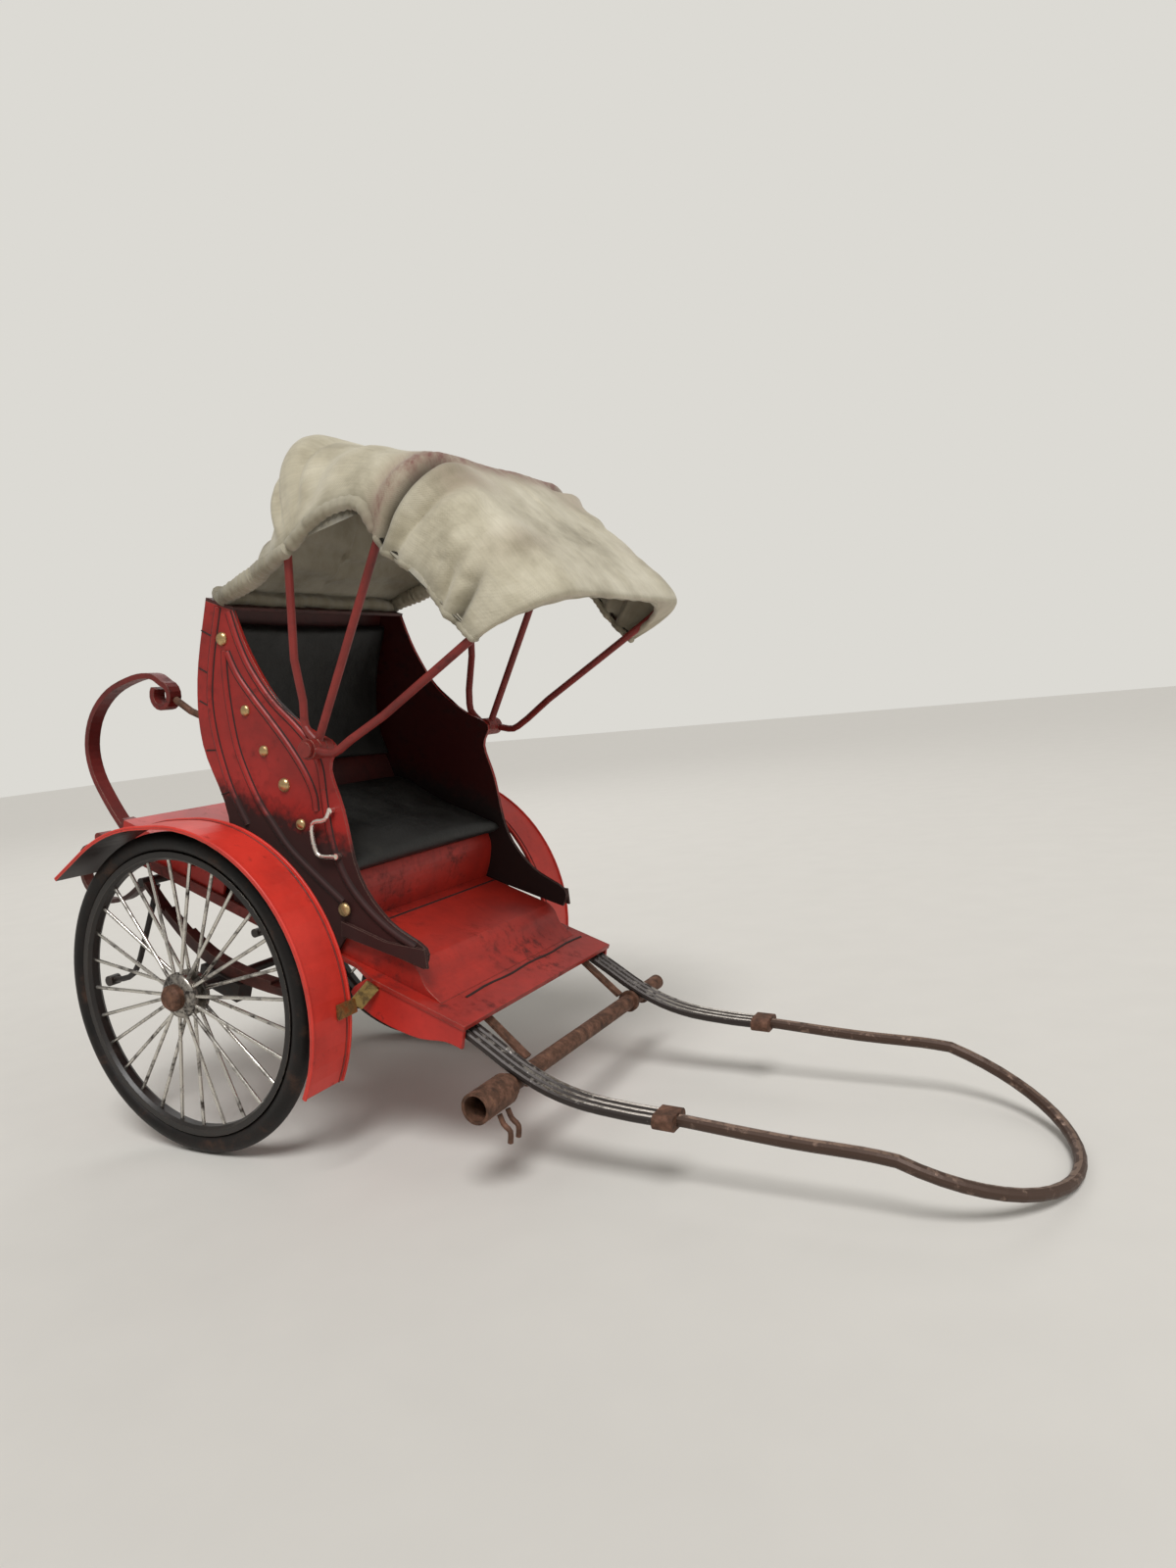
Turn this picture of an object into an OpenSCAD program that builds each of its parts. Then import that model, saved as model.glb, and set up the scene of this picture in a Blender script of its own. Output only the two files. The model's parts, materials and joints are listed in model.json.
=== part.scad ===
// Hand-made metal model of a pulled rickshaw with a folding hood.
// +X runs forward to the shaft loop, +Y to the left, +Z up.
// The origin is on the floor, midway along the parked model.
// Everything but the wheels is laid out level, measured from the axle,
// and then pitched nose-down until the shaft loop rests on the floor.

/* [Wheels] */
// Radius of the wheel over its tyre
wheel_r = 50; // [44:0.5:58]
// Distance from the middle of the model to the middle of each tyre
wheel_track = 54.3; // [53:0.1:58]
// Thickness of the tyre's round section
tyre_d = 6; // [4:0.5:8]
// Number of spokes in each wheel
spoke_count = 28; // [16:2:36]
// Thickness of a spoke
spoke_d = 1.1; // [0.6:0.1:1.4]
// Thickness of the axle
axle_d = 3; // [2:0.5:4]
// Radius of the hub's flanges
hub_flange_r = 7; // [6:0.5:9]

/* [Body] */
// Half of the body's width over its side panels
body_half_w = 40.5; // [36:0.5:42]
// Thickness of the side panels
panel_t = 1.2; // [0.8:0.1:2]
// Height of the floor plate's top above the axle
deck_z = 27.6; // [24:0.2:34]
// Front edge of the floor plate
plate_front = 91.4; // [88:0.2:110]
// Half width of the running boards
board_half_w = 44; // [42:0.5:46]
// Thickness of the floor plate
plate_t = 1.4; // [1:0.1:2]
// Height of the seat back's top above the axle
back_top_z = 114.7; // [104:0.5:130]
// Thickness of the seat cushion at its front edge
seat_cushion_t = 5; // [3:0.5:8]
// Thickness of the padding on the seat back
back_cushion_t = 5; // [3:0.5:8]

/* [Fenders] */
// Gap between the tyre and the fender
fender_gap = 1.9; // [1.5:0.1:4]
// Width of each fender
fender_w = 16; // [12:0.5:18]
// Thickness of the fender sheet
fender_t = 0.8; // [0.6:0.1:1.5]
// How far the right fender stands forward of its axle
right_fender_lead = 7; // [4:0.5:12]
// How far the left fender stands forward of its axle
left_fender_lead = 15; // [4:0.5:18]

/* [Hood] */
// How far the hood's bows reach from their pivot
bow_reach = 85.7; // [80:0.5:95]
// Thickness of the bows
bow_d = 2.4; // [1.8:0.1:2.4]
// Thickness of the hood cloth
cloth_t = 0.8; // [0.5:0.1:1.2]

/* [Shafts] */
// Distance from the middle of the model to each shaft
shaft_half_w = 38; // [34:0.5:38]
// Thickness of each of the three tubes in a shaft
shaft_tube_d = 2.5; // [2:0.1:2.6]
// Thickness of the rod that makes the loop
loop_rod_d = 3.2; // [2.4:0.1:4]
// Length of the loop forward of the shaft clamps, up to its round end
loop_run = 54; // [40:1:80]
// Thickness of the crossbar
crossbar_d = 5; // [4:0.5:6]

/* [Hidden] */
// Gap left round a piece that turns on a pin
running_gap = 0.05;
// Gap left between soft pieces and what they rest against
soft_gap = 0.3;

// Curves and sweeps

// A point on the smooth curve through b and c, with a before and d after
function between(a, b, c, d, t) =
    0.5 * (2 * b + (c - a) * t + (2 * a - 5 * b + 4 * c - d) * t * t
        + (3 * b - a - 3 * c + d) * t * t * t);

// A smooth curve through all the points of a list
function smooth(p, steps = 4) = concat(
    [for (i = [0:len(p) - 2], j = [0:steps - 1])
        between(p[max(i - 1, 0)], p[i], p[i + 1], p[min(i + 2, len(p) - 1)], j / steps)],
    [p[len(p) - 1]]);

// Points along an arc, with angles measured from +X towards +Y
function arc(centre, r, a0, a1, steps) =
    [for (i = [0:steps]) let (a = a0 + (a1 - a0) * i / steps) centre + r * [cos(a), sin(a)]];

function unit(v) = v / norm(v);

function direction(p, i) = unit(p[min(i + 1, len(p) - 1)] - p[max(i - 1, 0)]);

// The part of u that is square to the direction t
function square_to(u, t) = unit(u - (u * t) * t);

function flat_path(p, y) = [for (q = p) [q[0], y, q[1]]];

function mirror_y(p) = [for (q = p) [q[0], -q[1], q[2]]];

function reversed(p) = [for (i = [len(p) - 1:-1:0]) p[i]];

function round_section(d, sides = 12) =
    [for (i = [0:sides - 1]) d / 2 * [cos(360 * i / sides), sin(360 * i / sides)]];

function strip_section(across, thick) =
    [[across, -thick] / 2, [across, thick] / 2, [-across, thick] / 2, [-across, -thick] / 2];

// A section carried along a path; side is the way the section's first axis starts
module sweep(path, section, side = [0, 1, 0]) {
    n = len(section);
    last = len(path) - 1;
    sides = [for (i = 0, u = square_to(side, direction(path, 0)); i <= last;
        i = i + 1, u = i <= last ? square_to(u, direction(path, i)) : u) u];
    points = [for (i = [0:last], s = section)
        path[i] + s[0] * sides[i] + s[1] * cross(direction(path, i), sides[i])];
    walls = [for (i = [0:last - 1], j = [0:n - 1])
        [i * n + j, (i + 1) * n + j, (i + 1) * n + (j + 1) % n, i * n + (j + 1) % n]];
    ends = [[for (j = [0:n - 1]) j], [for (j = [n - 1:-1:0]) last * n + j]];
    polyhedron(points, concat(walls, ends), convexity = 6);
}

// A flat outline in the side view, given its thickness across the body
module side_plate(outline, y0, y1) {
    translate([0, y1, 0])
        rotate([90, 0, 0])
            linear_extrude(y1 - y0) polygon(outline);
}

module both_sides() {
    children();
    mirror([0, 1, 0]) children();
}

// Where the parts meet, level and from the axle

plate_z = deck_z - plate_t;
rail_bottom = deck_z - 3.4;
rail_rear = -64;
rail_front = 38;
box_rear = -52.4;
box_top = deck_z + 8.1;
sheet_t = 1.2;
inner_half_w = body_half_w - panel_t;
pan_z = deck_z + 7.2;
pan_half_w = inner_half_w - 0.4;
riser_x = 40.3;
seat_z = deck_z + 22.5;
back_inset = 1.4;
pivot = [25, 86];
pin_d = 3;

// The side panel's back edge, from the top down
back_edge = smooth([[-30, back_top_z], [-28.7, 90.6], [-22.4, 71.4], [-7.6, 53], [0, deck_z]], 5);

// Where the back edge runs at a height
function back_x(z) = lookup(z, [for (p = back_edge) [p[1], p[0]]]);

// Front face of the sheet behind the seat back, at a height
function back_face(z) = back_x(z) + back_inset + sheet_t;

// The side panel's front edge, from its tip up to the back
front_edge = smooth([[72.7, pan_z + 1], [71.7, 41.7], [57.9, 44.5], [44.7, 53.3], [34.7, 70.1],
    [27.6, 80], [pivot[0] + 2.5, pivot[1] + 1.5], [17, 89.3], [4, 93.6], [-9.5, 104.2],
    [-18.6, back_top_z]], 4);

// Shafts: their middle line runs under the plate, dips and climbs to the clamp
shaft_start = 62;
shaft_z = plate_z - shaft_tube_d / 2 - 0.05;
clamp_slope = 18.5;
clamp_at = [plate_front + 59.7, shaft_z + 2.5];
clamp_l = 5.6;

function up_slope(from, d) = from + d * [cos(clamp_slope), sin(clamp_slope)];

shaft_line = concat(
    [[shaft_start, shaft_z]],
    smooth([[plate_front - 6, shaft_z], [plate_front + 5, shaft_z - 2.2],
        [plate_front + 16, shaft_z - 4.5], [plate_front + 27, shaft_z - 5.3],
        [plate_front + 38, shaft_z - 4], up_slope(clamp_at, -9)], 3),
    [up_slope(clamp_at, -0.4)]);

loop_z = clamp_at[1] + 0.3 * loop_run + 0.9;
loop_x = clamp_at[0] + loop_run;
apex_x = loop_x + shaft_half_w;

// Crossbar under the shafts
crossbar_x = plate_front + 16.1;
crossbar_z = shaft_z - 4.5 - shaft_tube_d / 2 - crossbar_d / 2;

// Rear stand
stand_y = 34;
stand_knob_r = 1.8;
stand_foot = [-55, -26.4];

// Pitch of the parked model, which brings the loop's underside to the floor
pitch = atan2(loop_z, apex_x) + asin((wheel_r - loop_rod_d / 2) / norm([apex_x, loop_z]));

// The parked model's foremost and hindmost points give the origin's place
front_x = apex_x * cos(pitch) + loop_z * sin(pitch) + loop_rod_d / 2;
rear_x = stand_foot[0] * cos(pitch) + stand_foot[1] * sin(pitch) - stand_knob_r;
axle_x = -(front_x + rear_x) / 2;

module on_axle() {
    translate([axle_x, 0, wheel_r]) children();
}

module parked() {
    on_axle() rotate([0, pitch, 0]) children();
}

// Wheels

rim_outer_r = wheel_r - tyre_d + 0.2;
rim_t = 2.7;
rim_w = 4.6;
hub_half_w = 2.8;
hub_bore_r = axle_d / 2 + running_gap;

module wheel_place(side) {
    on_axle() translate([0, side * wheel_track, 0]) rotate([90, 0, 0]) children();
}

module tyre(side) {
    color("#2a211e") wheel_place(side) rotate_extrude($fn = 96)
        intersection() {
            translate([wheel_r - tyre_d / 2, 0]) circle(d = tyre_d, $fn = 32);
            translate([rim_outer_r, -tyre_d]) square([tyre_d, 2 * tyre_d]);
        }
}

module rim(side) {
    color("#3a2f2a") wheel_place(side) rotate_extrude($fn = 96)
        polygon([[rim_outer_r, -rim_w / 2], [rim_outer_r, rim_w / 2],
            [rim_outer_r - rim_t + 0.8, rim_w / 2], [rim_outer_r - rim_t, rim_w / 4],
            [rim_outer_r - rim_t, -rim_w / 4], [rim_outer_r - rim_t + 0.8, -rim_w / 2]]);
}

// Spokes run from the two flanges in turn to the middle of the rim
module spokes(side) {
    foot_r = hub_flange_r - 0.6;
    rise = rim_outer_r - rim_t + 0.5 - foot_r;
    lean = hub_half_w - 0.6;
    color("#b9b6b0") wheel_place(side)
        for (i = [0:spoke_count - 1])
            rotate([0, 0, 360 * i / spoke_count])
                translate([foot_r, 0, (i % 2 == 0 ? 1 : -1) * lean])
                    rotate([0, 90 + (i % 2 == 0 ? 1 : -1) * atan2(lean, rise), 0])
                        cylinder(d = spoke_d, h = norm([rise, lean]), $fn = 16);
}

module hub(side) {
    color("#8d8a86") wheel_place(side) difference() {
        rotate_extrude($fn = 48)
            polygon([[0, -hub_half_w], [hub_flange_r, -hub_half_w],
                [hub_flange_r, 1.2 - hub_half_w], [3.6, 1.6 - hub_half_w],
                [3.6, hub_half_w - 1.6], [hub_flange_r, hub_half_w - 1.2],
                [hub_flange_r, hub_half_w], [0, hub_half_w]]);
        cylinder(r = hub_bore_r, h = 4 * hub_half_w, center = true, $fn = 48);
    }
}

hub_cap_r = 4;
hub_cap_l = 4;
axle_half_l = wheel_track + hub_half_w + hub_cap_l - 1.2;

module hub_cap(side) {
    color("#5a4033") wheel_place(side) mirror([0, 0, side > 0 ? 1 : 0])
        translate([0, 0, hub_half_w]) difference() {
            rotate_extrude($fn = 48)
                polygon([[0, 0], [hub_cap_r, 0], [hub_cap_r, hub_cap_l - 1],
                    [hub_cap_r - 0.9, hub_cap_l], [0, hub_cap_l]]);
            translate([0, 0, -1])
                cylinder(r = hub_bore_r, h = hub_cap_l, $fn = 48);
        }
}

module axle() {
    color("#3b3532") on_axle()
        rotate([90, 0, 0]) cylinder(d = axle_d, h = 2 * axle_half_l, center = true, $fn = 48);
}

// Running gear

spring_y = 39;
spring_w = 4;
leaf_t = 1.3;
leaf_rear = [-39, 18.6];
leaf_front = [56, 17];
leaf_low = 4;

// The leaf spring's main line: an even bow between its ends, lowest over the axle
function leaf_line(x) =
    let (end = x < 0 ? leaf_rear : leaf_front, t = x / end[0])
    leaf_low + (end[1] - leaf_low) * t * t * (1.35 - 0.35 * t);

module leaf(x0, x1, level) {
    xs = [for (i = [0:16]) x0 + (x1 - x0) * i / 16];
    top = [for (x = xs) [x, leaf_line(x) - level * leaf_t]];
    low = [for (p = reversed(top)) p - [0, leaf_t]];
    side_plate(concat(top, low), spring_y - spring_w / 2, spring_y + spring_w / 2);
}

module leaf_springs() {
    color("#2e2724") parked() both_sides() {
        leaf(leaf_rear[0], leaf_front[0], 0);
        leaf(-0.72 * 39, 0.6 * 56, -1);
        leaf(-0.45 * 39, 0.36 * 56, -2);
    }
}

// Blocks that clamp the axle to the springs
module axle_blocks() {
    color("#1f1b19") parked() both_sides() difference() {
        translate([-8, spring_y - 3, -3.4]) cube([17, 6, leaf_low - leaf_t + 3.3]);
        rotate([90, 0, 0])
            cylinder(d = axle_d + 0.04, h = 3 * wheel_track, center = true, $fn = 48);
    }
}

scroll_line = smooth([[rail_rear + 1, rail_bottom - 0.8], [-70, 18], [-67.5, 8], [-58.5, 4.6],
    [-48, 9], [-41.2, 16.4]], 5);

module scroll_straps() {
    color("#3a2622") parked() both_sides()
        sweep(flat_path(scroll_line, spring_y), strip_section(4, 1.4));
}

tie_r = 1.5;

module rear_tie_bar() {
    color("#2e2724") parked()
        translate([leaf_rear[0] - tie_r, 0, leaf_rear[1] - leaf_t / 2]) rotate([90, 0, 0])
            cylinder(r = tie_r, h = 2 * (spring_y + spring_w / 2), center = true, $fn = 32);
}

module rear_stands() {
    top = [leaf_rear[0] - tie_r, leaf_rear[1] - leaf_t / 2 - tie_r - 0.6];
    line = smooth([top, [-42.5, -4], [-45.5, -19.6], stand_foot], 4);
    color("#35302d") parked() both_sides() {
        sweep(flat_path(line, stand_y), round_section(2));
        translate([stand_foot[0], stand_y, stand_foot[1]]) rotate([90, 0, 0])
            cylinder(r = stand_knob_r, h = 4, center = true, $fn = 32);
    }
}

// Hangers that hold the leaf springs' front ends under the plate
module spring_hangers() {
    color("#2b2523") parked() both_sides()
        translate([leaf_front[0] - 3, spring_y - 2, leaf_front[1]])
            cube([4, 4, plate_z - leaf_front[1]]);
}

// Frame and floor

module frame_rails() {
    color("#7c1f1a") parked() both_sides() {
        translate([rail_rear + 1.7, body_half_w - 4, rail_bottom])
            cube([rail_front - rail_rear - 1.7, 5, deck_z - rail_bottom]);
        translate([rail_rear + 1.7, body_half_w + 1, rail_bottom + 1.7]) rotate([90, 0, 0])
            cylinder(r = 1.7, h = 5, $fn = 32);
    }
}

board_start = 50;
board_corner = 8.8;

module floor_plate() {
    color("#c32c22") parked() translate([0, 0, plate_z]) linear_extrude(plate_t) {
        polygon([[box_rear, 4 - body_half_w], [rail_front, 4 - body_half_w],
            [rail_front, -body_half_w], [board_start, -body_half_w],
            [board_start + board_corner, -board_half_w], [plate_front, -board_half_w],
            [plate_front, board_half_w], [board_start + board_corner, board_half_w],
            [board_start, body_half_w], [rail_front, body_half_w],
            [rail_front, body_half_w - 4], [box_rear, body_half_w - 4]]);
    }
}

// Curved sheet under each running board
module side_skirts() {
    low = smooth([[plate_front + 0.4, plate_z - 5.5], [86, 20.3], [77.8, 17.4], [67.4, 16.4],
        [58.3, 17.2], [52, 20.5], [board_start + 6, plate_z]], 3);
    color("#a3241c") parked() both_sides()
        side_plate(concat([[plate_front - 0.4, plate_z]], low),
            board_half_w - 1.6, board_half_w - 0.4);
}

// Footwell pan: a raised floor with a rolled front edge and side walls
pan_front = 79.6;
pan_t = 1;
pan_top = concat([[riser_x - 0.2, pan_z], [65, pan_z]],
    smooth([[67.4, pan_z], [70.4, pan_z - 1.6], [73.6, pan_z - 4.9], [pan_front, deck_z + 0.05]], 4));

module footwell_pan() {
    under = [for (p = reversed(pan_top)) [p[0] - 0.35, max(p[1] - pan_t, deck_z)]];
    color("#b5271e") parked() {
        side_plate(concat(pan_top, [[pan_front, deck_z]], under), -pan_half_w, pan_half_w);
        both_sides()
            side_plate(concat([[riser_x - 0.2, deck_z]], pan_top, [[pan_front, deck_z]]),
                pan_half_w - pan_t, pan_half_w);
    }
}

// Seat box and body

module seat_riser() {
    face = smooth([[riser_x, pan_z], [riser_x + 0.2, 40], [riser_x - 0.8, 46.5], [37.2, seat_z]], 4);
    back = [for (p = reversed(face)) p - [1.4, 0]];
    color("#c32c22") parked() side_plate(concat(face, back), -inner_half_w, inner_half_w);
}

seat_rear = back_face(seat_z) + 0.3;
seat_front = 37;

module seat_board() {
    color("#4c1512") parked()
        translate([seat_rear, -inner_half_w, seat_z])
            cube([seat_front - seat_rear, 2 * inner_half_w, sheet_t]);
}

module side_panel(side) {
    outline = concat(front_edge, back_edge, [[42, deck_z], [44.5, pan_z - 0.3]]);
    color("#b8231d") parked() mirror([0, side < 0 ? 1 : 0, 0]) {
        side_plate(outline, inner_half_w, body_half_w);
        // flared flange along the bottom of the footwell
        side_plate([[43.5, pan_z - 0.6], [74.3, pan_z + 2], [72.1, 41.8], [58.7, 38.6], [42.4, 38.3]],
            body_half_w, body_half_w + 1);
    }
}

// Curved sheet behind the seat back, following the side panels' back edge
module back_panel() {
    line = [for (p = back_edge) if (p[1] > box_top) p + [back_inset, 0]];
    inner = [for (p = reversed(line)) p + [sheet_t, 0]];
    color("#8f1d18") parked() side_plate(concat(line, inner), -inner_half_w, inner_half_w);
}

top_rail_t = 1;

module top_rail() {
    color("#9b201a") parked()
        translate([back_edge[0][0], -body_half_w, back_top_z])
            cube([front_edge[len(front_edge) - 1][0] - back_edge[0][0], 2 * body_half_w, top_rail_t]);
}

// Closed box behind the seat, with its flat deck
module rear_box() {
    front = -5;
    color("#bb2a20") parked() {
        translate([box_rear, -body_half_w, box_top - sheet_t])
            cube([front - box_rear, 2 * body_half_w, sheet_t]);
        translate([box_rear, -body_half_w, deck_z])
            cube([sheet_t, 2 * body_half_w, box_top - deck_z]);
        both_sides() translate([box_rear, body_half_w - sheet_t, deck_z])
            cube([front - box_rear, sheet_t, box_top - deck_z]);
    }
}

// Springs and links behind the seat

c_spring_y = 37;
c_spring_w = 4.5;
c_spring_t = 1.8;
c_line = smooth([[box_rear - 1.9, deck_z + 4.2], [-62.8, 37.4], [-71.5, 45], [-76, 54], [-75.3, 64.6],
    [-69.2, 74.5], [-58.7, 82.2], [-50.8, 85.1], [-46.1, 84.2]], 4);
scroll_at = [-45.2, 80.4];
scroll_r = 3.8;

module c_springs() {
    roll = arc(scroll_at, scroll_r, 95, -200, 14);
    color("#8a1d17") parked() both_sides() {
        sweep(flat_path(concat([for (i = [0:len(c_line) - 3]) c_line[i]], roll), c_spring_y),
            strip_section(c_spring_w, c_spring_t));
        translate([box_rear - 2.4, c_spring_y - c_spring_w / 2, deck_z + 0.4])
            cube([2.4, c_spring_w, 7.2]);
    }
}

link_r = 1.1;

module spring_links() {
    hook = scroll_at + [scroll_r + c_spring_t / 2 + 0.1, 0];
    end_z = hook[1] - 1.8;
    line = [hook, [(hook[0] + back_x(end_z)) / 2, end_z + 0.2], [back_x(end_z) + back_inset - 0.9, end_z]];
    color("#6f5a4c") parked() both_sides()
        sweep(flat_path(line, c_spring_y), round_section(2 * link_r));
}

// Fenders

fender_r = wheel_r + fender_gap;
fender_inner_y = wheel_track - 5.8;
fender_low = -28;
fender_back = 30;
fender_tail = 16;

// The fender's line from its front foot, over the wheel, to its straight tail
function fender_line(lead, r) =
    let (turn = arc([0, 0], r, 90, 90 + fender_back, 8), end = turn[8])
    concat(arc([lead, 0], r, fender_low, 90, 24), turn,
        [end + fender_tail * [-cos(fender_back), -sin(fender_back)]]);

module fender(side, lead) {
    color("#c92b20") on_axle() mirror([0, side < 0 ? 1 : 0, 0])
        side_plate(concat(fender_line(lead, fender_r + fender_t), reversed(fender_line(lead, fender_r))),
            fender_inner_y, fender_inner_y + fender_w);
}

// A point on the fender's inner face, level frame; a is its angle up from forward
function level(p) = [p[0] * cos(pitch) - p[1] * sin(pitch), p[0] * sin(pitch) + p[1] * cos(pitch)];

function fender_point(lead, a, r) = level([lead + r * cos(a), r * sin(a)]);

// Flat strap from a running board's corner to the outside of a fender
strap_w = 4.2;
strap_t = 0.8;
// How far the strap lies on the fender, and how far inboard of it the strap turns away
strap_lap = 6;
strap_turn = 1.7;

module fender_strap(side, lead) {
    hold = fender_point(lead, -3, fender_r + fender_t + strap_t / 2 + 0.1);
    edge = [board_start + 10, board_half_w + 1, plate_z + 0.5];
    bend = [hold[0], fender_inner_y - strap_turn, hold[1]];
    run = edge - bend;
    color("#8d7434") parked() mirror([0, side < 0 ? 1 : 0, 0]) {
        translate([hold[0], fender_inner_y, hold[1]]) rotate([0, 3 - pitch, 0])
            translate([-strap_t / 2, -strap_turn, -strap_w / 2])
                cube([strap_t, strap_lap + strap_turn, strap_w]);
        translate(bend) rotate([0, 0, atan2(run[1], run[0])])
            rotate([0, -atan2(run[2], norm([run[0], run[1]])), 0])
                translate([0, -strap_t / 2, -strap_w / 2]) cube([norm(run), strap_t, strap_w]);
    }
}

module fender_straps() {
    fender_strap(-1, right_fender_lead);
    fender_strap(1, left_fender_lead);
}

// Stays from the frame rails over the wheels to the fenders
module fender_stays() {
    color("#7c1f1a") parked() both_sides() {
        crown = level([0, fender_r + fender_t / 2]);
        sweep([[crown[0], body_half_w + 0.15, box_top - 3], [crown[0], body_half_w + 2.5, box_top - 2],
            [crown[0], fender_inner_y - 2.5, crown[1] - 2.4], [crown[0], fender_inner_y - 0.35, crown[1]]],
            strip_section(3, 0.9), side = [1, 0, 0]);
    }
}

// Shafts

module shaft_tubes() {
    color("#7d7874") parked() both_sides()
        for (i = [-1:1])
            sweep(flat_path(shaft_line, shaft_half_w + i * (shaft_tube_d + 0.1)),
                round_section(shaft_tube_d));
}

module shaft_clamps() {
    wide = 2 * shaft_tube_d + 0.2;
    color("#6b5f58") parked() both_sides()
        translate([clamp_at[0], shaft_half_w, clamp_at[1]]) rotate([0, -clamp_slope, 0])
            difference() {
                rotate([90, 0, 90]) linear_extrude(clamp_l, center = true) {
                    square([wide, shaft_tube_d + 1.6], center = true);
                    for (i = [-1, 1])
                        translate([i * wide / 2, 0]) circle(d = shaft_tube_d + 1.6, $fn = 32);
                }
                for (i = [-1:1])
                    translate([-clamp_l, i * (shaft_tube_d + 0.1), 0]) rotate([0, 90, 0])
                        cylinder(d = shaft_tube_d + 0.06, h = clamp_l - 0.3, $fn = 32);
                rotate([0, 90, 0])
                    cylinder(d = loop_rod_d + 0.06, h = clamp_l, $fn = 32);
            }
}

// The rod climbs from the clamps, levels off and turns round the front
module shaft_loop() {
    start = up_slope(clamp_at, 0.1);
    side_line = concat([start],
        smooth([up_slope(clamp_at, 5), [clamp_at[0] + 0.53 * loop_run, clamp_at[1] + 0.163 * loop_run],
            [clamp_at[0] + 0.85 * loop_run, loop_z - 2.3], [loop_x, loop_z]], 3));
    near = flat_path(side_line, -shaft_half_w);
    turn = [for (p = arc([loop_x, 0], shaft_half_w, -90, 90, 24)) [p[0], p[1], loop_z]];
    inside = [for (i = [1:23]) turn[i]];
    color("#5e4a40") parked()
        sweep(concat(near, inside, reversed(mirror_y(near))), round_section(loop_rod_d));
}

sleeve_r = 4.3;
sleeve_bore_r = 3.4;
sleeve_l = 10;
crossbar_right = -51;
crossbar_left = 55.7;

module on_crossbar(y) {
    parked() translate([crossbar_x, y, crossbar_z]) rotate([-90, 0, 0]) children();
}

module crossbar() {
    color("#6b4a3a") on_crossbar(crossbar_right)
        cylinder(d = crossbar_d, h = crossbar_left - crossbar_right, $fn = 32);
}

// Hollow sleeve on the crossbar's right end, with a stop inside and two bent prongs
module crossbar_sleeve() {
    open_y = -58.3;
    color("#6e4c3c") {
        on_crossbar(open_y) difference() {
            cylinder(r = sleeve_r, h = sleeve_l + 4, $fn = 48);
            translate([0, 0, -1]) cylinder(r = sleeve_bore_r, h = crossbar_right - open_y + 1, $fn = 48);
            cylinder(d = crossbar_d + 0.06, h = 40, $fn = 48);
        }
    }
}

module sleeve_prongs() {
    color("#7a5846") parked() for (y = [-46.5, -50.5])
        sweep([for (p = smooth([[crossbar_x + 3.4, crossbar_z - 3.4], [crossbar_x + 5.2, crossbar_z - 5.4],
                [crossbar_x + 7.6, crossbar_z - 6.4], [crossbar_x + 8.4, crossbar_z - 9.4]], 3))
            [p[0], y, p[1]]], round_section(1.5));
}

// Saddles that hold the crossbar under the shafts
module crossbar_saddles() {
    color("#5a4336") parked() both_sides() for (y = [shaft_half_w - 5.6, shaft_half_w + 4.2])
        translate([crossbar_x, y, crossbar_z]) rotate([-90, 0, 0]) difference() {
            cylinder(r = crossbar_d / 2 + 1, h = 1.4, $fn = 32);
            translate([0, 0, -1]) cylinder(d = crossbar_d + 0.04, h = 4, $fn = 32);
        }
}

module struts() {
    color("#5a4336") parked() both_sides()
        sweep([[plate_front - 5, shaft_half_w - 8.6, plate_z - 0.6],
            [plate_front - 3, shaft_half_w - 8.6, plate_z - 1],
            [crossbar_x - 2.4, shaft_half_w - 8.6, crossbar_z + 2.4]],
            strip_section(3, 1));
}

// Hood
// Each bow is a hoop on the two pivot pins. Its feet are stacked side by side
// on the pin, and its legs run out to one shared plane.

bow_plane = body_half_w + 4.1;
lane_step = bow_d + 0.2;
hoop_corner = 15;
foot_r = 16;
merge_r = 28;

// name, angle of the top forward of straight up, reach, lane on the pin, bend after the foot
rear_bow_row = [-21.2, bow_reach, -1, [-7.7, 3.5]];
middle_bow_row = [7.6, bow_reach - 2, 0, [1.06, 7.93]];
front_bow_row = [43.3, bow_reach, 1, [8.6, 1.2]];

function on_bow(angle, r) = [r * sin(angle), r * cos(angle)];

// The bow's line from the pin to the middle of the top, as [x, y, z] from the pivot
function half_bow(row) =
    let (top = on_bow(row[0], row[1]), bend = row[3],
        lane = bow_plane + row[2] * lane_step, along = top - bend, run = norm(along),
        way = along / run,
        leg = [for (d = [2.5, foot_r - norm(bend), merge_r - norm(bend), run - hoop_corner])
            bend + d * way])
    concat(
        [concat_y(unit(bend) * (pin_d / 2 + 1.2), lane)],
        [concat_y(bend - unit(bend) * 2.2, lane)],
        [concat_y(bend * 0.94 + way * 0.6, lane)],
        [concat_y(leg[0], lane), concat_y(leg[1], lane), concat_y(leg[2], bow_plane)],
        [for (a = [0:15:90]) concat_y(leg[3] + hoop_corner * sin(a) * way,
            bow_plane - hoop_corner + hoop_corner * cos(a))]);

function concat_y(p, y) = [p[0], y, p[1]];

module bow(row) {
    half = half_bow(row);
    lane = bow_plane + row[2] * lane_step;
    color("#8f241d") parked() translate([pivot[0], 0, pivot[1]]) {
        sweep(concat(half, reversed(mirror_y(half))), round_section(bow_d));
        both_sides() translate([0, lane, 0]) rotate([90, 0, 0]) difference() {
            cylinder(r = pin_d / 2 + 1.5, h = bow_d, center = true, $fn = 32);
            cylinder(d = pin_d + 2 * running_gap, h = 2 * bow_d, center = true, $fn = 32);
        }
    }
}

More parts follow.
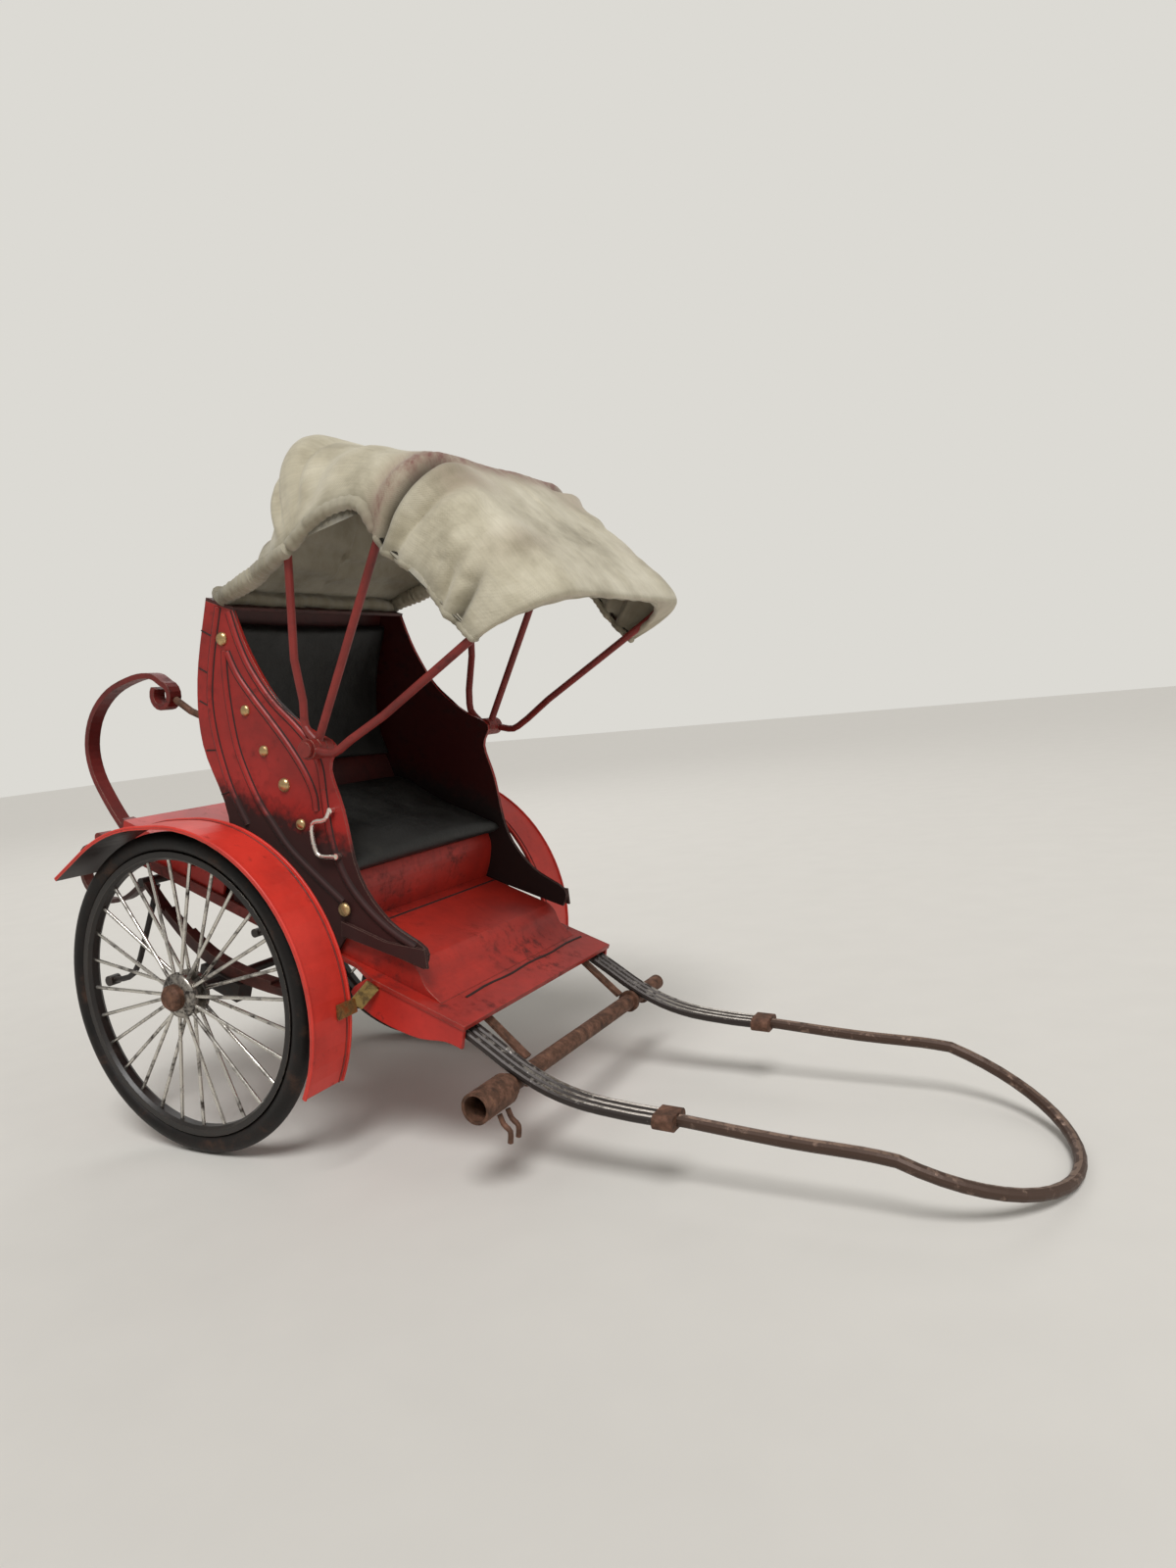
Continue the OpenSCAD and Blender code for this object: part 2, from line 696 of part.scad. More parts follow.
// Pins through the side panels, with round heads outside the bows
module pivot_pins() {
    pin_out = bow_plane + 1.5 * lane_step + 0.1;
    color("#a8281f") parked() both_sides()
        translate([pivot[0], body_half_w, pivot[1]]) rotate([-90, 0, 0]) {
            cylinder(d = pin_d, h = pin_out - body_half_w, $fn = 32);
            translate([0, 0, pin_out - body_half_w]) cylinder(r = pin_d / 2 + 0.8, h = 1, $fn = 32);
        }
}

// Hood cloth
// Rows of angle from straight up, reach, reach of the side hem, half width, corner radius
cloth_out = bow_d / 2 + soft_gap + cloth_t;
cloth_w = bow_plane + cloth_out;
cloth_reach = bow_reach + cloth_out;
cloth_corner = hoop_corner + cloth_out;
rail_hold = back_top_z + top_rail_t - pivot[1] + 0.6;
rear_row = [rear_bow_row[0], cloth_reach, 53.4, cloth_w, cloth_corner];
middle_row = [middle_bow_row[0], cloth_reach - 2, 61.5, cloth_w, cloth_corner];
front_row = [front_bow_row[0], cloth_reach, 61, cloth_w, cloth_corner];
curtain_rows = [
    [-58.5, rail_hold / cos(58.5) + 3, rail_hold / cos(58.5), body_half_w, 1.5],
    [-45, 61.5, 53.5, body_half_w + 1, 7],
    [-34, 69, 53, body_half_w + 3, 15],
    [-25, cloth_reach - 2, 53, cloth_w, cloth_corner],
    rear_row];
rear_roof_rows = [rear_row, [-7, cloth_reach - 4, 63.5, cloth_w, cloth_corner], middle_row];
front_roof_rows = [middle_row, [25, cloth_reach - 5.3, 61.5, cloth_w, cloth_corner], front_row,
    [46.5, cloth_reach - 1, 64, cloth_w, cloth_corner]];

// One row of cloth points, from the left hem over the top to the right hem
function cloth_row(row, skin) =
    let (reach = row[1] - skin, w = row[3] - skin, r = row[4] - skin,
        half = concat([[w, row[2]]], [for (a = [0:15:90]) [w - r + r * cos(a), reach - r + r * sin(a)]],
            [[w * 0.35, reach]]))
    [for (p = concat(half, [for (q = reversed(half)) [-q[0], q[1]]]))
        [pivot[0] + p[1] * sin(row[0]), p[0], pivot[1] + p[1] * cos(row[0])]];

module cloth(rows) {
    outer = [for (row = rows) each cloth_row(row, 0)];
    inner = [for (row = rows) each cloth_row(row, cloth_t)];
    n = len(cloth_row(rows[0], 0));
    m = len(rows);
    under = n * m;
    skins = [for (i = [0:m - 2], j = [0:n - 2]) let (a = i * n + j) each [
        [a, a + 1, a + n + 1], [a, a + n + 1, a + n],
        [under + a, under + a + n + 1, under + a + 1], [under + a, under + a + n, under + a + n + 1]]];
    hems = [for (i = [0:m - 2], j = [0, n - 1]) let (a = i * n + j) each j == 0
        ? [[a, a + n, under + a + n], [a, under + a + n, under + a]]
        : [[a, under + a + n, a + n], [a, under + a, under + a + n]]];
    ends = [for (i = [0, m - 1], j = [0:n - 2]) let (a = i * n + j) each i == 0
        ? [[a, under + a, under + a + 1], [a, under + a + 1, a + 1]]
        : [[a, under + a + 1, under + a], [a, a + 1, under + a + 1]]];
    color("#b3a98f") parked() polyhedron(concat(outer, inner), concat(skins, hems, ends), convexity = 4);
}

// Seat padding

module seat_cushion() {
    base = seat_z + sheet_t + soft_gap;
    color("#23211f") parked()
        side_plate([[seat_rear + soft_gap, base], [seat_front + 1, base], [seat_front + 4, base + 0.3],
            [seat_front + 4.6, base + 2], [seat_front + 2.5, base + seat_cushion_t],
            [back_face(base + 2.4 * seat_cushion_t) + 2, base + 2.4 * seat_cushion_t]],
            soft_gap - inner_half_w, inner_half_w - soft_gap);
}

module back_cushion() {
    line = [for (p = back_edge) if (p[1] > 66 && p[1] < 110)
        p + [back_inset + sheet_t + 2 * soft_gap, 0]];
    face = [for (p = reversed(line)) p + [back_cushion_t, 0]];
    color("#1e1c1b") parked()
        side_plate(concat(line, face), soft_gap - inner_half_w, inner_half_w - soft_gap);
}

// Wire hooks on the front edges of the side panels
module grab_handles() {
    line = smooth([[31.4, 68.9], [30.4, 65.8], [26.8, 63.8], [26.4, 61], [28.6, 56.6], [31.2, 54.8],
        [36.6, 56.6]], 3);
    color("#c9c6c0") parked() both_sides() {
        sweep(flat_path(line, body_half_w + 1.6), round_section(1.4));
        for (p = [line[0], line[len(line) - 1]])
            translate([p[0], body_half_w, p[1]]) rotate([-90, 0, 0]) cylinder(d = 1.8, h = 1.6, $fn = 24);
    }
}

tyre(1);  // left_tyre
rim(1);  // left_rim
spokes(1);  // left_spokes
hub(1);  // left_hub
hub_cap(1);  // left_hub_cap
tyre(-1);  // right_tyre
rim(-1);  // right_rim
spokes(-1);  // right_spokes
hub(-1);  // right_hub
hub_cap(-1);  // right_hub_cap
axle();
axle_blocks();
leaf_springs();
spring_hangers();
scroll_straps();
rear_tie_bar();
rear_stands();
frame_rails();
floor_plate();
side_skirts();
footwell_pan();
seat_riser();
seat_board();
side_panel(1);  // left_side_panel
side_panel(-1);  // right_side_panel
back_panel();
top_rail();
rear_box();
c_springs();
spring_links();
fender(1, left_fender_lead);  // left_fender
fender(-1, right_fender_lead);  // right_fender
fender_straps();
fender_stays();
shaft_tubes();
shaft_clamps();
shaft_loop();
crossbar();
crossbar_sleeve();
sleeve_prongs();
crossbar_saddles();
struts();
bow(rear_bow_row);  // rear_bow
bow(middle_bow_row);  // middle_bow
bow(front_bow_row);  // front_bow
pivot_pins();
cloth(curtain_rows);  // hood_curtain
cloth(rear_roof_rows);  // hood_roof_rear
cloth(front_roof_rows);  // hood_roof_front
seat_cushion();
back_cushion();
grab_handles();
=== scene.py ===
import json
import math

import bpy
from mathutils import Matrix, Vector, noise


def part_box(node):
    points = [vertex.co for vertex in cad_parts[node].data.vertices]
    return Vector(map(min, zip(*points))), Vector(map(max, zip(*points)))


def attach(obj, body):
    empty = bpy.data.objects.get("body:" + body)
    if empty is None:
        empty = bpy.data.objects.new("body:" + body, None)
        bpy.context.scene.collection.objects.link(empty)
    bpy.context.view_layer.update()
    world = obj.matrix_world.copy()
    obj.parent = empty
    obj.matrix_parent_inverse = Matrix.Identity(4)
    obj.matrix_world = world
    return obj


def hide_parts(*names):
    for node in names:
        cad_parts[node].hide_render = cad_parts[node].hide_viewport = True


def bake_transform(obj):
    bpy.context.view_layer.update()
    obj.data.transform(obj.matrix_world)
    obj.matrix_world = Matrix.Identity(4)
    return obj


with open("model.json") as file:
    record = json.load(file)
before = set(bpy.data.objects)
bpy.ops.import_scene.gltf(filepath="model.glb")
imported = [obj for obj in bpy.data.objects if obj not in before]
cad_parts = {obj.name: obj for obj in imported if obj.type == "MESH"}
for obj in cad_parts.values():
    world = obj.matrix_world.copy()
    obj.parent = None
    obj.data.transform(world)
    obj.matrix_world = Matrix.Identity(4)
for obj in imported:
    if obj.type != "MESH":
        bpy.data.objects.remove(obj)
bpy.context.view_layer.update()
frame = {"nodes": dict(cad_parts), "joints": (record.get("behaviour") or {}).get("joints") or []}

# Looks for a hand-made tin model of a pulled rickshaw with a folding cloth hood.
# Sizes are millimetres in a level frame measured from the axle, +X forward, +Y left, +Z up;
# place() turns them into the parked, nose-down frame of the CAD, in metres.

mm = 0.001
axleLow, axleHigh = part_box("axle")
axle = (axleLow + axleHigh) / 2
hoodJoint = next(joint for joint in frame["joints"] if joint["name"] == "hood_fold")
pivot = Vector(hoodJoint["pos_m"])

model = {
    "pivotX": 25.0,          # hood pins, level and from the axle
    "pivotZ": 86.0,
    "halfWidth": 40.5,       # over the side panels
    "sides": (-1, 1),        # right, left
}
levelAngle = math.atan2(model["pivotZ"], model["pivotX"])
parkedAngle = math.atan2(pivot.z - axle.z, pivot.x - axle.x)
pitch = levelAngle - parkedAngle
levelToParked = Matrix.Rotation(pitch, 3, "Y")


def place(x, y, z):
    return axle + levelToParked @ Vector((x, y, z)) * mm


def direction(x, y, z):
    return (levelToParked @ Vector((x, y, z))).normalized()


def startFresh():
    if bpy.context.object and bpy.context.object.mode != "OBJECT":
        bpy.ops.object.mode_set(mode="OBJECT")
    bpy.ops.object.select_all(action="DESELECT")


def applyModifiers(piece):
    bpy.context.view_layer.objects.active = piece
    for modifier in list(piece.modifiers):
        bpy.ops.object.modifier_apply(modifier=modifier.name)


def placeInMesh(piece):
    # the object goes back to the origin and its place into its mesh
    startFresh()
    piece.select_set(True)
    bpy.context.view_layer.objects.active = piece
    bpy.ops.object.transform_apply(location=True, rotation=True, scale=True)


def smoothFaces(piece, angle):
    startFresh()
    piece.select_set(True)
    bpy.context.view_layer.objects.active = piece
    bpy.ops.object.shade_smooth_by_angle(angle=math.radians(angle))


def finishPiece(piece, name, material, body):
    piece.name = name
    piece.data.name = name
    piece.data.materials.clear()
    piece.data.materials.append(material)
    if body:
        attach(piece, body)
    return piece


# Materials

def hexToLinear(code):
    channels = [int(code[i:i + 2], 16) / 255 for i in (1, 3, 5)]
    return [c / 12.92 if c <= 0.04045 else ((c + 0.055) / 1.055) ** 2.4 for c in channels] + [1.0]


def addNode(tree, kind, settings=None, links=None, stops=None):
    node = tree.nodes.new(kind)
    for key, value in (settings or {}).items():
        if isinstance(value, str) and value.startswith("#"):
            value = hexToLinear(value)
        if isinstance(key, int) or key in node.inputs:
            node.inputs[key].default_value = value
        else:
            setattr(node, key, value)
    for key, socket in (links or {}).items():
        tree.links.new(socket, node.inputs[key])
    if stops:
        ramp = node.color_ramp
        while len(ramp.elements) < len(stops):
            ramp.elements.new(0.5)
        for element, (position, colour) in zip(ramp.elements, stops):
            element.position = position
            element.color = hexToLinear(colour) if isinstance(colour, str) else (*[colour] * 3, 1)
    return node


def startMaterial(name):
    material = bpy.data.materials.new(name)
    material.use_nodes = True
    tree = material.node_tree
    tree.nodes.clear()
    coordinates = addNode(tree, "ShaderNodeTexCoord")
    offset = -(Matrix.Rotation(-pitch, 3, "Y") @ axle) / mm
    level = addNode(tree, "ShaderNodeMapping", {
        "Scale": (1 / mm, 1 / mm, 1 / mm), "Rotation": (0, -pitch, 0), "Location": offset,
    }, {"Vector": coordinates.outputs["Object"]})          # level millimetres from the axle
    shader = addNode(tree, "ShaderNodeBsdfPrincipled")
    addNode(tree, "ShaderNodeOutputMaterial", links={"Surface": shader.outputs["BSDF"]})
    return material, tree, level.outputs["Vector"], shader


enamel = {
    "patchSize": 16.0,       # cloudy patches in the brushed coat, mm
    "brushSize": 1.6,        # brush marks, mm
    "chipSize": 1.1,         # flakes lost along edges, mm
    "edgeWidth": 0.35 * mm,
}


panelFoot = {
    "cleanAbove": 73.5,      # heights, mm above the axle, between which the grime sets in
    "grimyBelow": 66.5,
    "grime": 0.93,
    "ragged": 16.0,          # how far the edge of the grime wanders, mm
}


def makeEnamel(name, bright, deep, grime, grimeShare, chip="#8a7468", gloss=0.42, panelGrime=False,
               inside=None, insideShadeFrom="middle"):
    # Hand-brushed oil enamel on tinplate: satin, cloudy and a little ridged, dark where hands and
    # dust left grime, and flaked to dull metal along its folded edges
    # where inside is given, the faces turned inward get a darker colour: painted shade
    material, tree, level, shader = startMaterial(name)
    patch = addNode(tree, "ShaderNodeTexNoise", {
        "Scale": 1 / enamel["patchSize"], "Detail": 6.0, "Roughness": 0.62}, {"Vector": level})
    coat = addNode(tree, "ShaderNodeValToRGB", links={"Fac": patch.outputs["Fac"]},
                   stops=[(0.32, deep), (0.62, bright)])
    speck = addNode(tree, "ShaderNodeTexNoise", {
        "Scale": 0.30, "Detail": 8.0, "Roughness": 0.66}, {"Vector": level})
    dirt = addNode(tree, "ShaderNodeValToRGB", links={"Fac": speck.outputs["Fac"]},
                   stops=[(0.62 - grimeShare * 0.25, 0.0), (0.80 - grimeShare * 0.2, 1.0)])
    spread = addNode(tree, "ShaderNodeTexNoise", {"Scale": 0.045, "Detail": 3.0}, {"Vector": level})
    where = addNode(tree, "ShaderNodeMapRange", {
        "From Min": 0.42, "From Max": 0.62, "To Min": 0.12, "To Max": 0.9}, {"Value": spread.outputs["Fac"]})
    gathered = addNode(tree, "ShaderNodeMath", {"operation": "MULTIPLY", "use_clamp": True},
                       {0: dirt.outputs["Color"], 1: where.outputs["Result"]})
    dirtFactor = gathered.outputs["Value"]
    if panelGrime:
        # the foot of the side panels, below the rivets, is handled and grimy
        apart = addNode(tree, "ShaderNodeSeparateXYZ", links={"Vector": level})
        ragged = addNode(tree, "ShaderNodeMath", {"operation": "MULTIPLY_ADD", 1: panelFoot["ragged"]},
                         {0: speck.outputs["Fac"], 2: apart.outputs["Z"]})
        low = addNode(tree, "ShaderNodeMapRange", {
            "From Min": panelFoot["cleanAbove"], "From Max": panelFoot["grimyBelow"],
            "To Min": 0.0, "To Max": panelFoot["grime"], "clamp": True},
            {"Value": ragged.outputs["Value"]})
        both = addNode(tree, "ShaderNodeMath", {"operation": "MAXIMUM"},
                       {0: gathered.outputs["Value"], 1: low.outputs["Result"]})
        dirtFactor = both.outputs["Value"]
    geometry = addNode(tree, "ShaderNodeNewGeometry")
    ground = coat.outputs["Color"]
    if inside:
        # painted shade: the faces that look towards the model's middle, or towards the axle, get a darker
        # colour, as shade falls there
        fromAxle = addNode(tree, "ShaderNodeMapping", {"Location": -axle},
                           {"Vector": addNode(tree, "ShaderNodeTexCoord").outputs["Object"]})
        kept = addNode(tree, "ShaderNodeVectorMath", {
            "operation": "MULTIPLY", 1: (0, 1, 0) if insideShadeFrom == "middle" else (1, 0, 1)},
            {0: fromAxle.outputs["Vector"]})
        away = addNode(tree, "ShaderNodeVectorMath", {"operation": "NORMALIZE"}, {0: kept.outputs["Vector"]})
        facing = addNode(tree, "ShaderNodeVectorMath", {"operation": "DOT_PRODUCT"},
                         {0: away.outputs["Vector"], 1: geometry.outputs["Normal"]})
        inner = addNode(tree, "ShaderNodeMapRange", {"From Min": -0.35, "From Max": -0.6},
                        {"Value": facing.outputs["Value"]})
        shadedInside = addNode(tree, "ShaderNodeMix", {"data_type": "RGBA", 7: inside},
                        {0: inner.outputs["Result"], 6: coat.outputs["Color"]})
        ground = shadedInside.outputs[2]
    soiled = addNode(tree, "ShaderNodeMix", {"data_type": "RGBA", 7: grime},
                     {0: dirtFactor, 6: ground})
    rounded = addNode(tree, "ShaderNodeBevel", {"samples": 4, "Radius": enamel["edgeWidth"]})
    turned = addNode(tree, "ShaderNodeVectorMath", {"operation": "DOT_PRODUCT"},
                     {0: rounded.outputs["Normal"], 1: geometry.outputs["Normal"]})
    flake = addNode(tree, "ShaderNodeTexNoise", {
        "Scale": 1 / enamel["chipSize"], "Detail": 3.0}, {"Vector": level})
    edge = addNode(tree, "ShaderNodeMath", {"operation": "MULTIPLY_ADD", 1: -3.2, 2: 3.2},
                   {0: turned.outputs["Value"]})
    loss = addNode(tree, "ShaderNodeMath", {"operation": "MULTIPLY", "use_clamp": True},
                   {0: edge.outputs["Value"], 1: flake.outputs["Fac"]})
    chipped = addNode(tree, "ShaderNodeValToRGB", links={"Fac": loss.outputs["Value"]},
                      stops=[(0.30, 0.0), (0.42, 1.0)])
    colour = addNode(tree, "ShaderNodeMix", {"data_type": "RGBA", 7: chip},
                     {0: chipped.outputs["Color"], 6: soiled.outputs[2]})
    tree.links.new(colour.outputs[2], shader.inputs["Base Color"])
    sheen = addNode(tree, "ShaderNodeMapRange", {
        "From Min": 0.0, "From Max": 1.0, "To Min": gloss, "To Max": 0.72}, {"Value": dirtFactor})
    tree.links.new(sheen.outputs["Result"], shader.inputs["Roughness"])
    tree.links.new(chipped.outputs["Color"], shader.inputs["Metallic"])
    brush = addNode(tree, "ShaderNodeTexNoise", {
        "Scale": 1 / enamel["brushSize"], "Detail": 4.0, "Roughness": 0.55}, {"Vector": level})
    relief = addNode(tree, "ShaderNodeBump", {"Strength": 0.10, "Distance": 0.25 * mm},
                     {"Height": brush.outputs["Fac"], "Normal": rounded.outputs["Normal"]})
    tree.links.new(relief.outputs["Normal"], shader.inputs["Normal"])
    return material


def makeTyreLacquer():
    # Black lacquer over a rolled tin tyre: near black, rubbed to warm copper brown in patches
    material, tree, level, shader = startMaterial("tyreLacquer")
    rub = addNode(tree, "ShaderNodeTexNoise", {"Scale": 0.09, "Detail": 7.0, "Roughness": 0.68},
                  {"Vector": level})
    colour = addNode(tree, "ShaderNodeValToRGB", links={"Fac": rub.outputs["Fac"]},
                     stops=[(0.40, "#0d0b0a"), (0.54, "#1a1412"), (0.66, "#3d2a20"), (0.80, "#5e3f2d")])
    tree.links.new(colour.outputs["Color"], shader.inputs["Base Color"])
    matt = addNode(tree, "ShaderNodeMapRange", {
        "From Min": 0.3, "From Max": 0.8, "To Min": 0.46, "To Max": 0.66}, {"Value": rub.outputs["Fac"]})
    tree.links.new(matt.outputs["Result"], shader.inputs["Roughness"])
    shader.inputs["Specular IOR Level"].default_value = 0.3
    grain = addNode(tree, "ShaderNodeTexNoise", {"Scale": 1.4, "Detail": 5.0}, {"Vector": level})
    relief = addNode(tree, "ShaderNodeBump", {"Strength": 0.18, "Distance": 0.3 * mm},
                     {"Height": grain.outputs["Fac"]})
    tree.links.new(relief.outputs["Normal"], shader.inputs["Normal"])
    return material


def makeWornMetal(name, bright, patina, share, patch, rough=(0.3, 0.62), topWearAndHighlight=0.0):
    # Bare or thinly painted steel: shiny where it is rubbed, with dull dark patina between
    material, tree, level, shader = startMaterial(name)
    cloud = addNode(tree, "ShaderNodeTexNoise", {
        "Scale": 1 / patch, "Detail": 6.0, "Roughness": 0.66, "Distortion": 0.4}, {"Vector": level})
    mask = cloud.outputs["Fac"]
    if topWearAndHighlight:
        # brighter along the upper side: a painted highlight where the light falls, with rubbed wear
        geometry = addNode(tree, "ShaderNodeNewGeometry")
        apart = addNode(tree, "ShaderNodeSeparateXYZ", links={"Vector": geometry.outputs["Normal"]})
        upper = addNode(tree, "ShaderNodeMath", {"operation": "POWER", 1: 7.0, "use_clamp": True},
                        {0: apart.outputs["Z"]})
        lifted = addNode(tree, "ShaderNodeMath", {"operation": "MULTIPLY_ADD", 1: topWearAndHighlight},
                         {0: upper.outputs["Value"], 2: cloud.outputs["Fac"]})
        mask = lifted.outputs["Value"]
    worn = addNode(tree, "ShaderNodeValToRGB", links={"Fac": mask},
                   stops=[(share - 0.07, 0.0), (share + 0.09, 1.0)])
    colour = addNode(tree, "ShaderNodeMix", {"data_type": "RGBA", 6: patina, 7: bright},
                     {0: worn.outputs["Color"]})
    tree.links.new(colour.outputs[2], shader.inputs["Base Color"])
    metal = addNode(tree, "ShaderNodeMapRange", {"To Min": 0.35, "To Max": 1.0},
                    {"Value": worn.outputs["Color"]})
    tree.links.new(metal.outputs["Result"], shader.inputs["Metallic"])
    matt = addNode(tree, "ShaderNodeMapRange", {"To Min": rough[1], "To Max": rough[0]},
                   {"Value": worn.outputs["Color"]})
    tree.links.new(matt.outputs["Result"], shader.inputs["Roughness"])
    pit = addNode(tree, "ShaderNodeTexNoise", {"Scale": 1.8, "Detail": 5.0}, {"Vector": level})
    relief = addNode(tree, "ShaderNodeBump", {"Strength": 0.22, "Distance": 0.2 * mm},
                     {"Height": pit.outputs["Fac"]})
    tree.links.new(relief.outputs["Normal"], shader.inputs["Normal"])
    return material


def makeRustedIron():
    # Iron left to rust: matt brown, mottled with darker scale and lighter orange bloom
    material, tree, level, shader = startMaterial("rustedIron")
    cloud = addNode(tree, "ShaderNodeTexNoise", {"Scale": 0.32, "Detail": 8.0, "Roughness": 0.7},
                    {"Vector": level})
    colour = addNode(tree, "ShaderNodeValToRGB", links={"Fac": cloud.outputs["Fac"]},
                     stops=[(0.30, "#2e1e17"), (0.48, "#5a3d2d"), (0.60, "#735040"), (0.74, "#8f6848")])
    tree.links.new(colour.outputs["Color"], shader.inputs["Base Color"])
    shader.inputs["Roughness"].default_value = 0.72
    shader.inputs["Metallic"].default_value = 0.25
    scale = addNode(tree, "ShaderNodeTexNoise", {"Scale": 1.5, "Detail": 6.0, "Roughness": 0.7},
                    {"Vector": level})
    relief = addNode(tree, "ShaderNodeBump", {"Strength": 0.4, "Distance": 0.25 * mm},
                     {"Height": scale.outputs["Fac"]})
    tree.links.new(relief.outputs["Normal"], shader.inputs["Normal"])
    return material


def makeCanvas():
    # Unbleached cotton canvas, plain woven and soaked with size: matt, pale khaki, with the weave
    # just showing, dust and painted shade in the folds and a brownish-red stain beside the middle bow.
    # The threads are drawn coarser than such cloth has them, so that they show
    threadApart = 0.55       # mm
    material, tree, level, shader = startMaterial("cottonCanvas")
    lay = addNode(tree, "ShaderNodeUVMap", {"uv_map": "clothLay"})
    apart = addNode(tree, "ShaderNodeSeparateXYZ", links={"Vector": lay.outputs["UV"]})
    threads = {}
    for key in ("X", "Y"):
        turn = addNode(tree, "ShaderNodeMath", {"operation": "MULTIPLY", 1: 2 * math.pi / threadApart},
                       {0: apart.outputs[key]})
        threads[key] = addNode(tree, "ShaderNodeMath", {"operation": "SINE"}, {0: turn.outputs["Value"]})
    weave = addNode(tree, "ShaderNodeMath", {"operation": "MULTIPLY"},
                    {0: threads["X"].outputs["Value"], 1: threads["Y"].outputs["Value"]})
    cloud = addNode(tree, "ShaderNodeTexNoise", {"Scale": 0.055, "Detail": 6.0, "Roughness": 0.6},
                    {"Vector": lay.outputs["UV"]})
    base = addNode(tree, "ShaderNodeValToRGB", links={"Fac": cloud.outputs["Fac"]},
                   stops=[(0.30, "#9a917a"), (0.50, "#c3bba4"), (0.70, "#dad3be")])
    streak = addNode(tree, "ShaderNodeTexNoise", {"Scale": 1.0, "Detail": 3.0},
                     {"Vector": addNode(tree, "ShaderNodeMapping", {"Scale": (0.12, 1.6, 1.0)},
                                        {"Vector": lay.outputs["UV"]}).outputs["Vector"]})
    slub = addNode(tree, "ShaderNodeMapRange", {"To Min": 0.84, "To Max": 1.12},
                   {"Value": streak.outputs["Fac"]})
    woven = addNode(tree, "ShaderNodeMix", {"data_type": "RGBA", "blend_type": "MULTIPLY", 0: 1.0},
                    {6: base.outputs["Color"], 7: slub.outputs["Result"]})
    stainMark = addNode(tree, "ShaderNodeAttribute", {"attribute_name": "stain"})
    ragged = addNode(tree, "ShaderNodeTexNoise", {"Scale": 0.22, "Detail": 6.0, "Roughness": 0.7},
                     {"Vector": lay.outputs["UV"]})
    soak = addNode(tree, "ShaderNodeMath", {"operation": "MULTIPLY", "use_clamp": True},
                   {0: stainMark.outputs["Fac"],
                    1: addNode(tree, "ShaderNodeMapRange", {
                        "From Min": 0.32, "From Max": 0.62, "To Min": 0.25, "To Max": 1.0},
                        {"Value": ragged.outputs["Fac"]}).outputs["Result"]})
    stained = addNode(tree, "ShaderNodeMix", {"data_type": "RGBA", 7: "#7d5348"},
                      {0: soak.outputs["Value"], 6: woven.outputs[2]})
    # the dust mark darkens the cloth with dust and with painted shade in folds, gathers, the lining and at
    # the rail
    dustAndShadeMark = addNode(tree, "ShaderNodeAttribute", {"attribute_name": "dust"})
    settledAndShaded = addNode(tree, "ShaderNodeMath", {"operation": "MULTIPLY", "use_clamp": True},
                      {0: dustAndShadeMark.outputs["Fac"], 1: slub.outputs["Result"]})
    dustyAndShaded = addNode(tree, "ShaderNodeMix", {"data_type": "RGBA", 7: "#3a3428"},
                    {0: settledAndShaded.outputs["Value"], 6: stained.outputs[2]})
    tree.links.new(dustyAndShaded.outputs[2], shader.inputs["Base Color"])
    shader.inputs["Roughness"].default_value = 0.9
    shader.inputs["Sheen Weight"].default_value = 0.25
    shader.inputs["Sheen Roughness"].default_value = 0.5
    crease = addNode(tree, "ShaderNodeTexNoise", {"Scale": 0.28, "Detail": 5.0, "Roughness": 0.6},
                     {"Vector": lay.outputs["UV"]})
    broad = addNode(tree, "ShaderNodeBump", {"Strength": 0.35, "Distance": 0.8 * mm},
                    {"Height": crease.outputs["Fac"]})
    fine = addNode(tree, "ShaderNodeBump", {"Strength": 0.35, "Distance": 0.12 * mm},
                   {"Height": weave.outputs["Value"], "Normal": broad.outputs["Normal"]})
    tree.links.new(fine.outputs["Normal"], shader.inputs["Normal"])
    return material


def makeLeather():
    # Thin black leather, finished with wax: fine pebbled grain, a satin shine, dusty in the hollows
    material, tree, level, shader = startMaterial("blackLeather")
    pebble = addNode(tree, "ShaderNodeTexVoronoi", {"feature": "SMOOTH_F1", "Scale": 1.1}, {"Vector": level})
    dust = addNode(tree, "ShaderNodeTexNoise", {"Scale": 0.1, "Detail": 6.0, "Roughness": 0.65},
                   {"Vector": level})
    colour = addNode(tree, "ShaderNodeValToRGB", links={"Fac": dust.outputs["Fac"]},
                     stops=[(0.35, "#0d0d0c"), (0.60, "#181816"), (0.78, "#2c2b27")])
    tree.links.new(colour.outputs["Color"], shader.inputs["Base Color"])
    matt = addNode(tree, "ShaderNodeMapRange", {
        "From Min": 0.3, "From Max": 0.75, "To Min": 0.42, "To Max": 0.66}, {"Value": dust.outputs["Fac"]})
    tree.links.new(matt.outputs["Result"], shader.inputs["Roughness"])
    wrinkle = addNode(tree, "ShaderNodeTexNoise", {"Scale": 0.16, "Detail": 4.0}, {"Vector": level})
    broad = addNode(tree, "ShaderNodeBump", {"Strength": 0.3, "Distance": 1.0 * mm},
                    {"Height": wrinkle.outputs["Fac"]})
    fine = addNode(tree, "ShaderNodeBump", {"Strength": 0.35, "Distance": 0.15 * mm},
                   {"Height": pebble.outputs["Distance"], "Normal": broad.outputs["Normal"]})
    tree.links.new(fine.outputs["Normal"], shader.inputs["Normal"])
    return material


brightRed = makeEnamel("brightRedEnamel", "#c02a20", "#a8231b", "#3d120e", 0.2)
# the fenders' faces towards the axle are given painted shade
fenderRed = makeEnamel("fenderRedEnamel", "#d8382b", "#bd2c21", "#3d120e", 0.12,
                       inside="#1d1210", insideShadeFrom="axle")
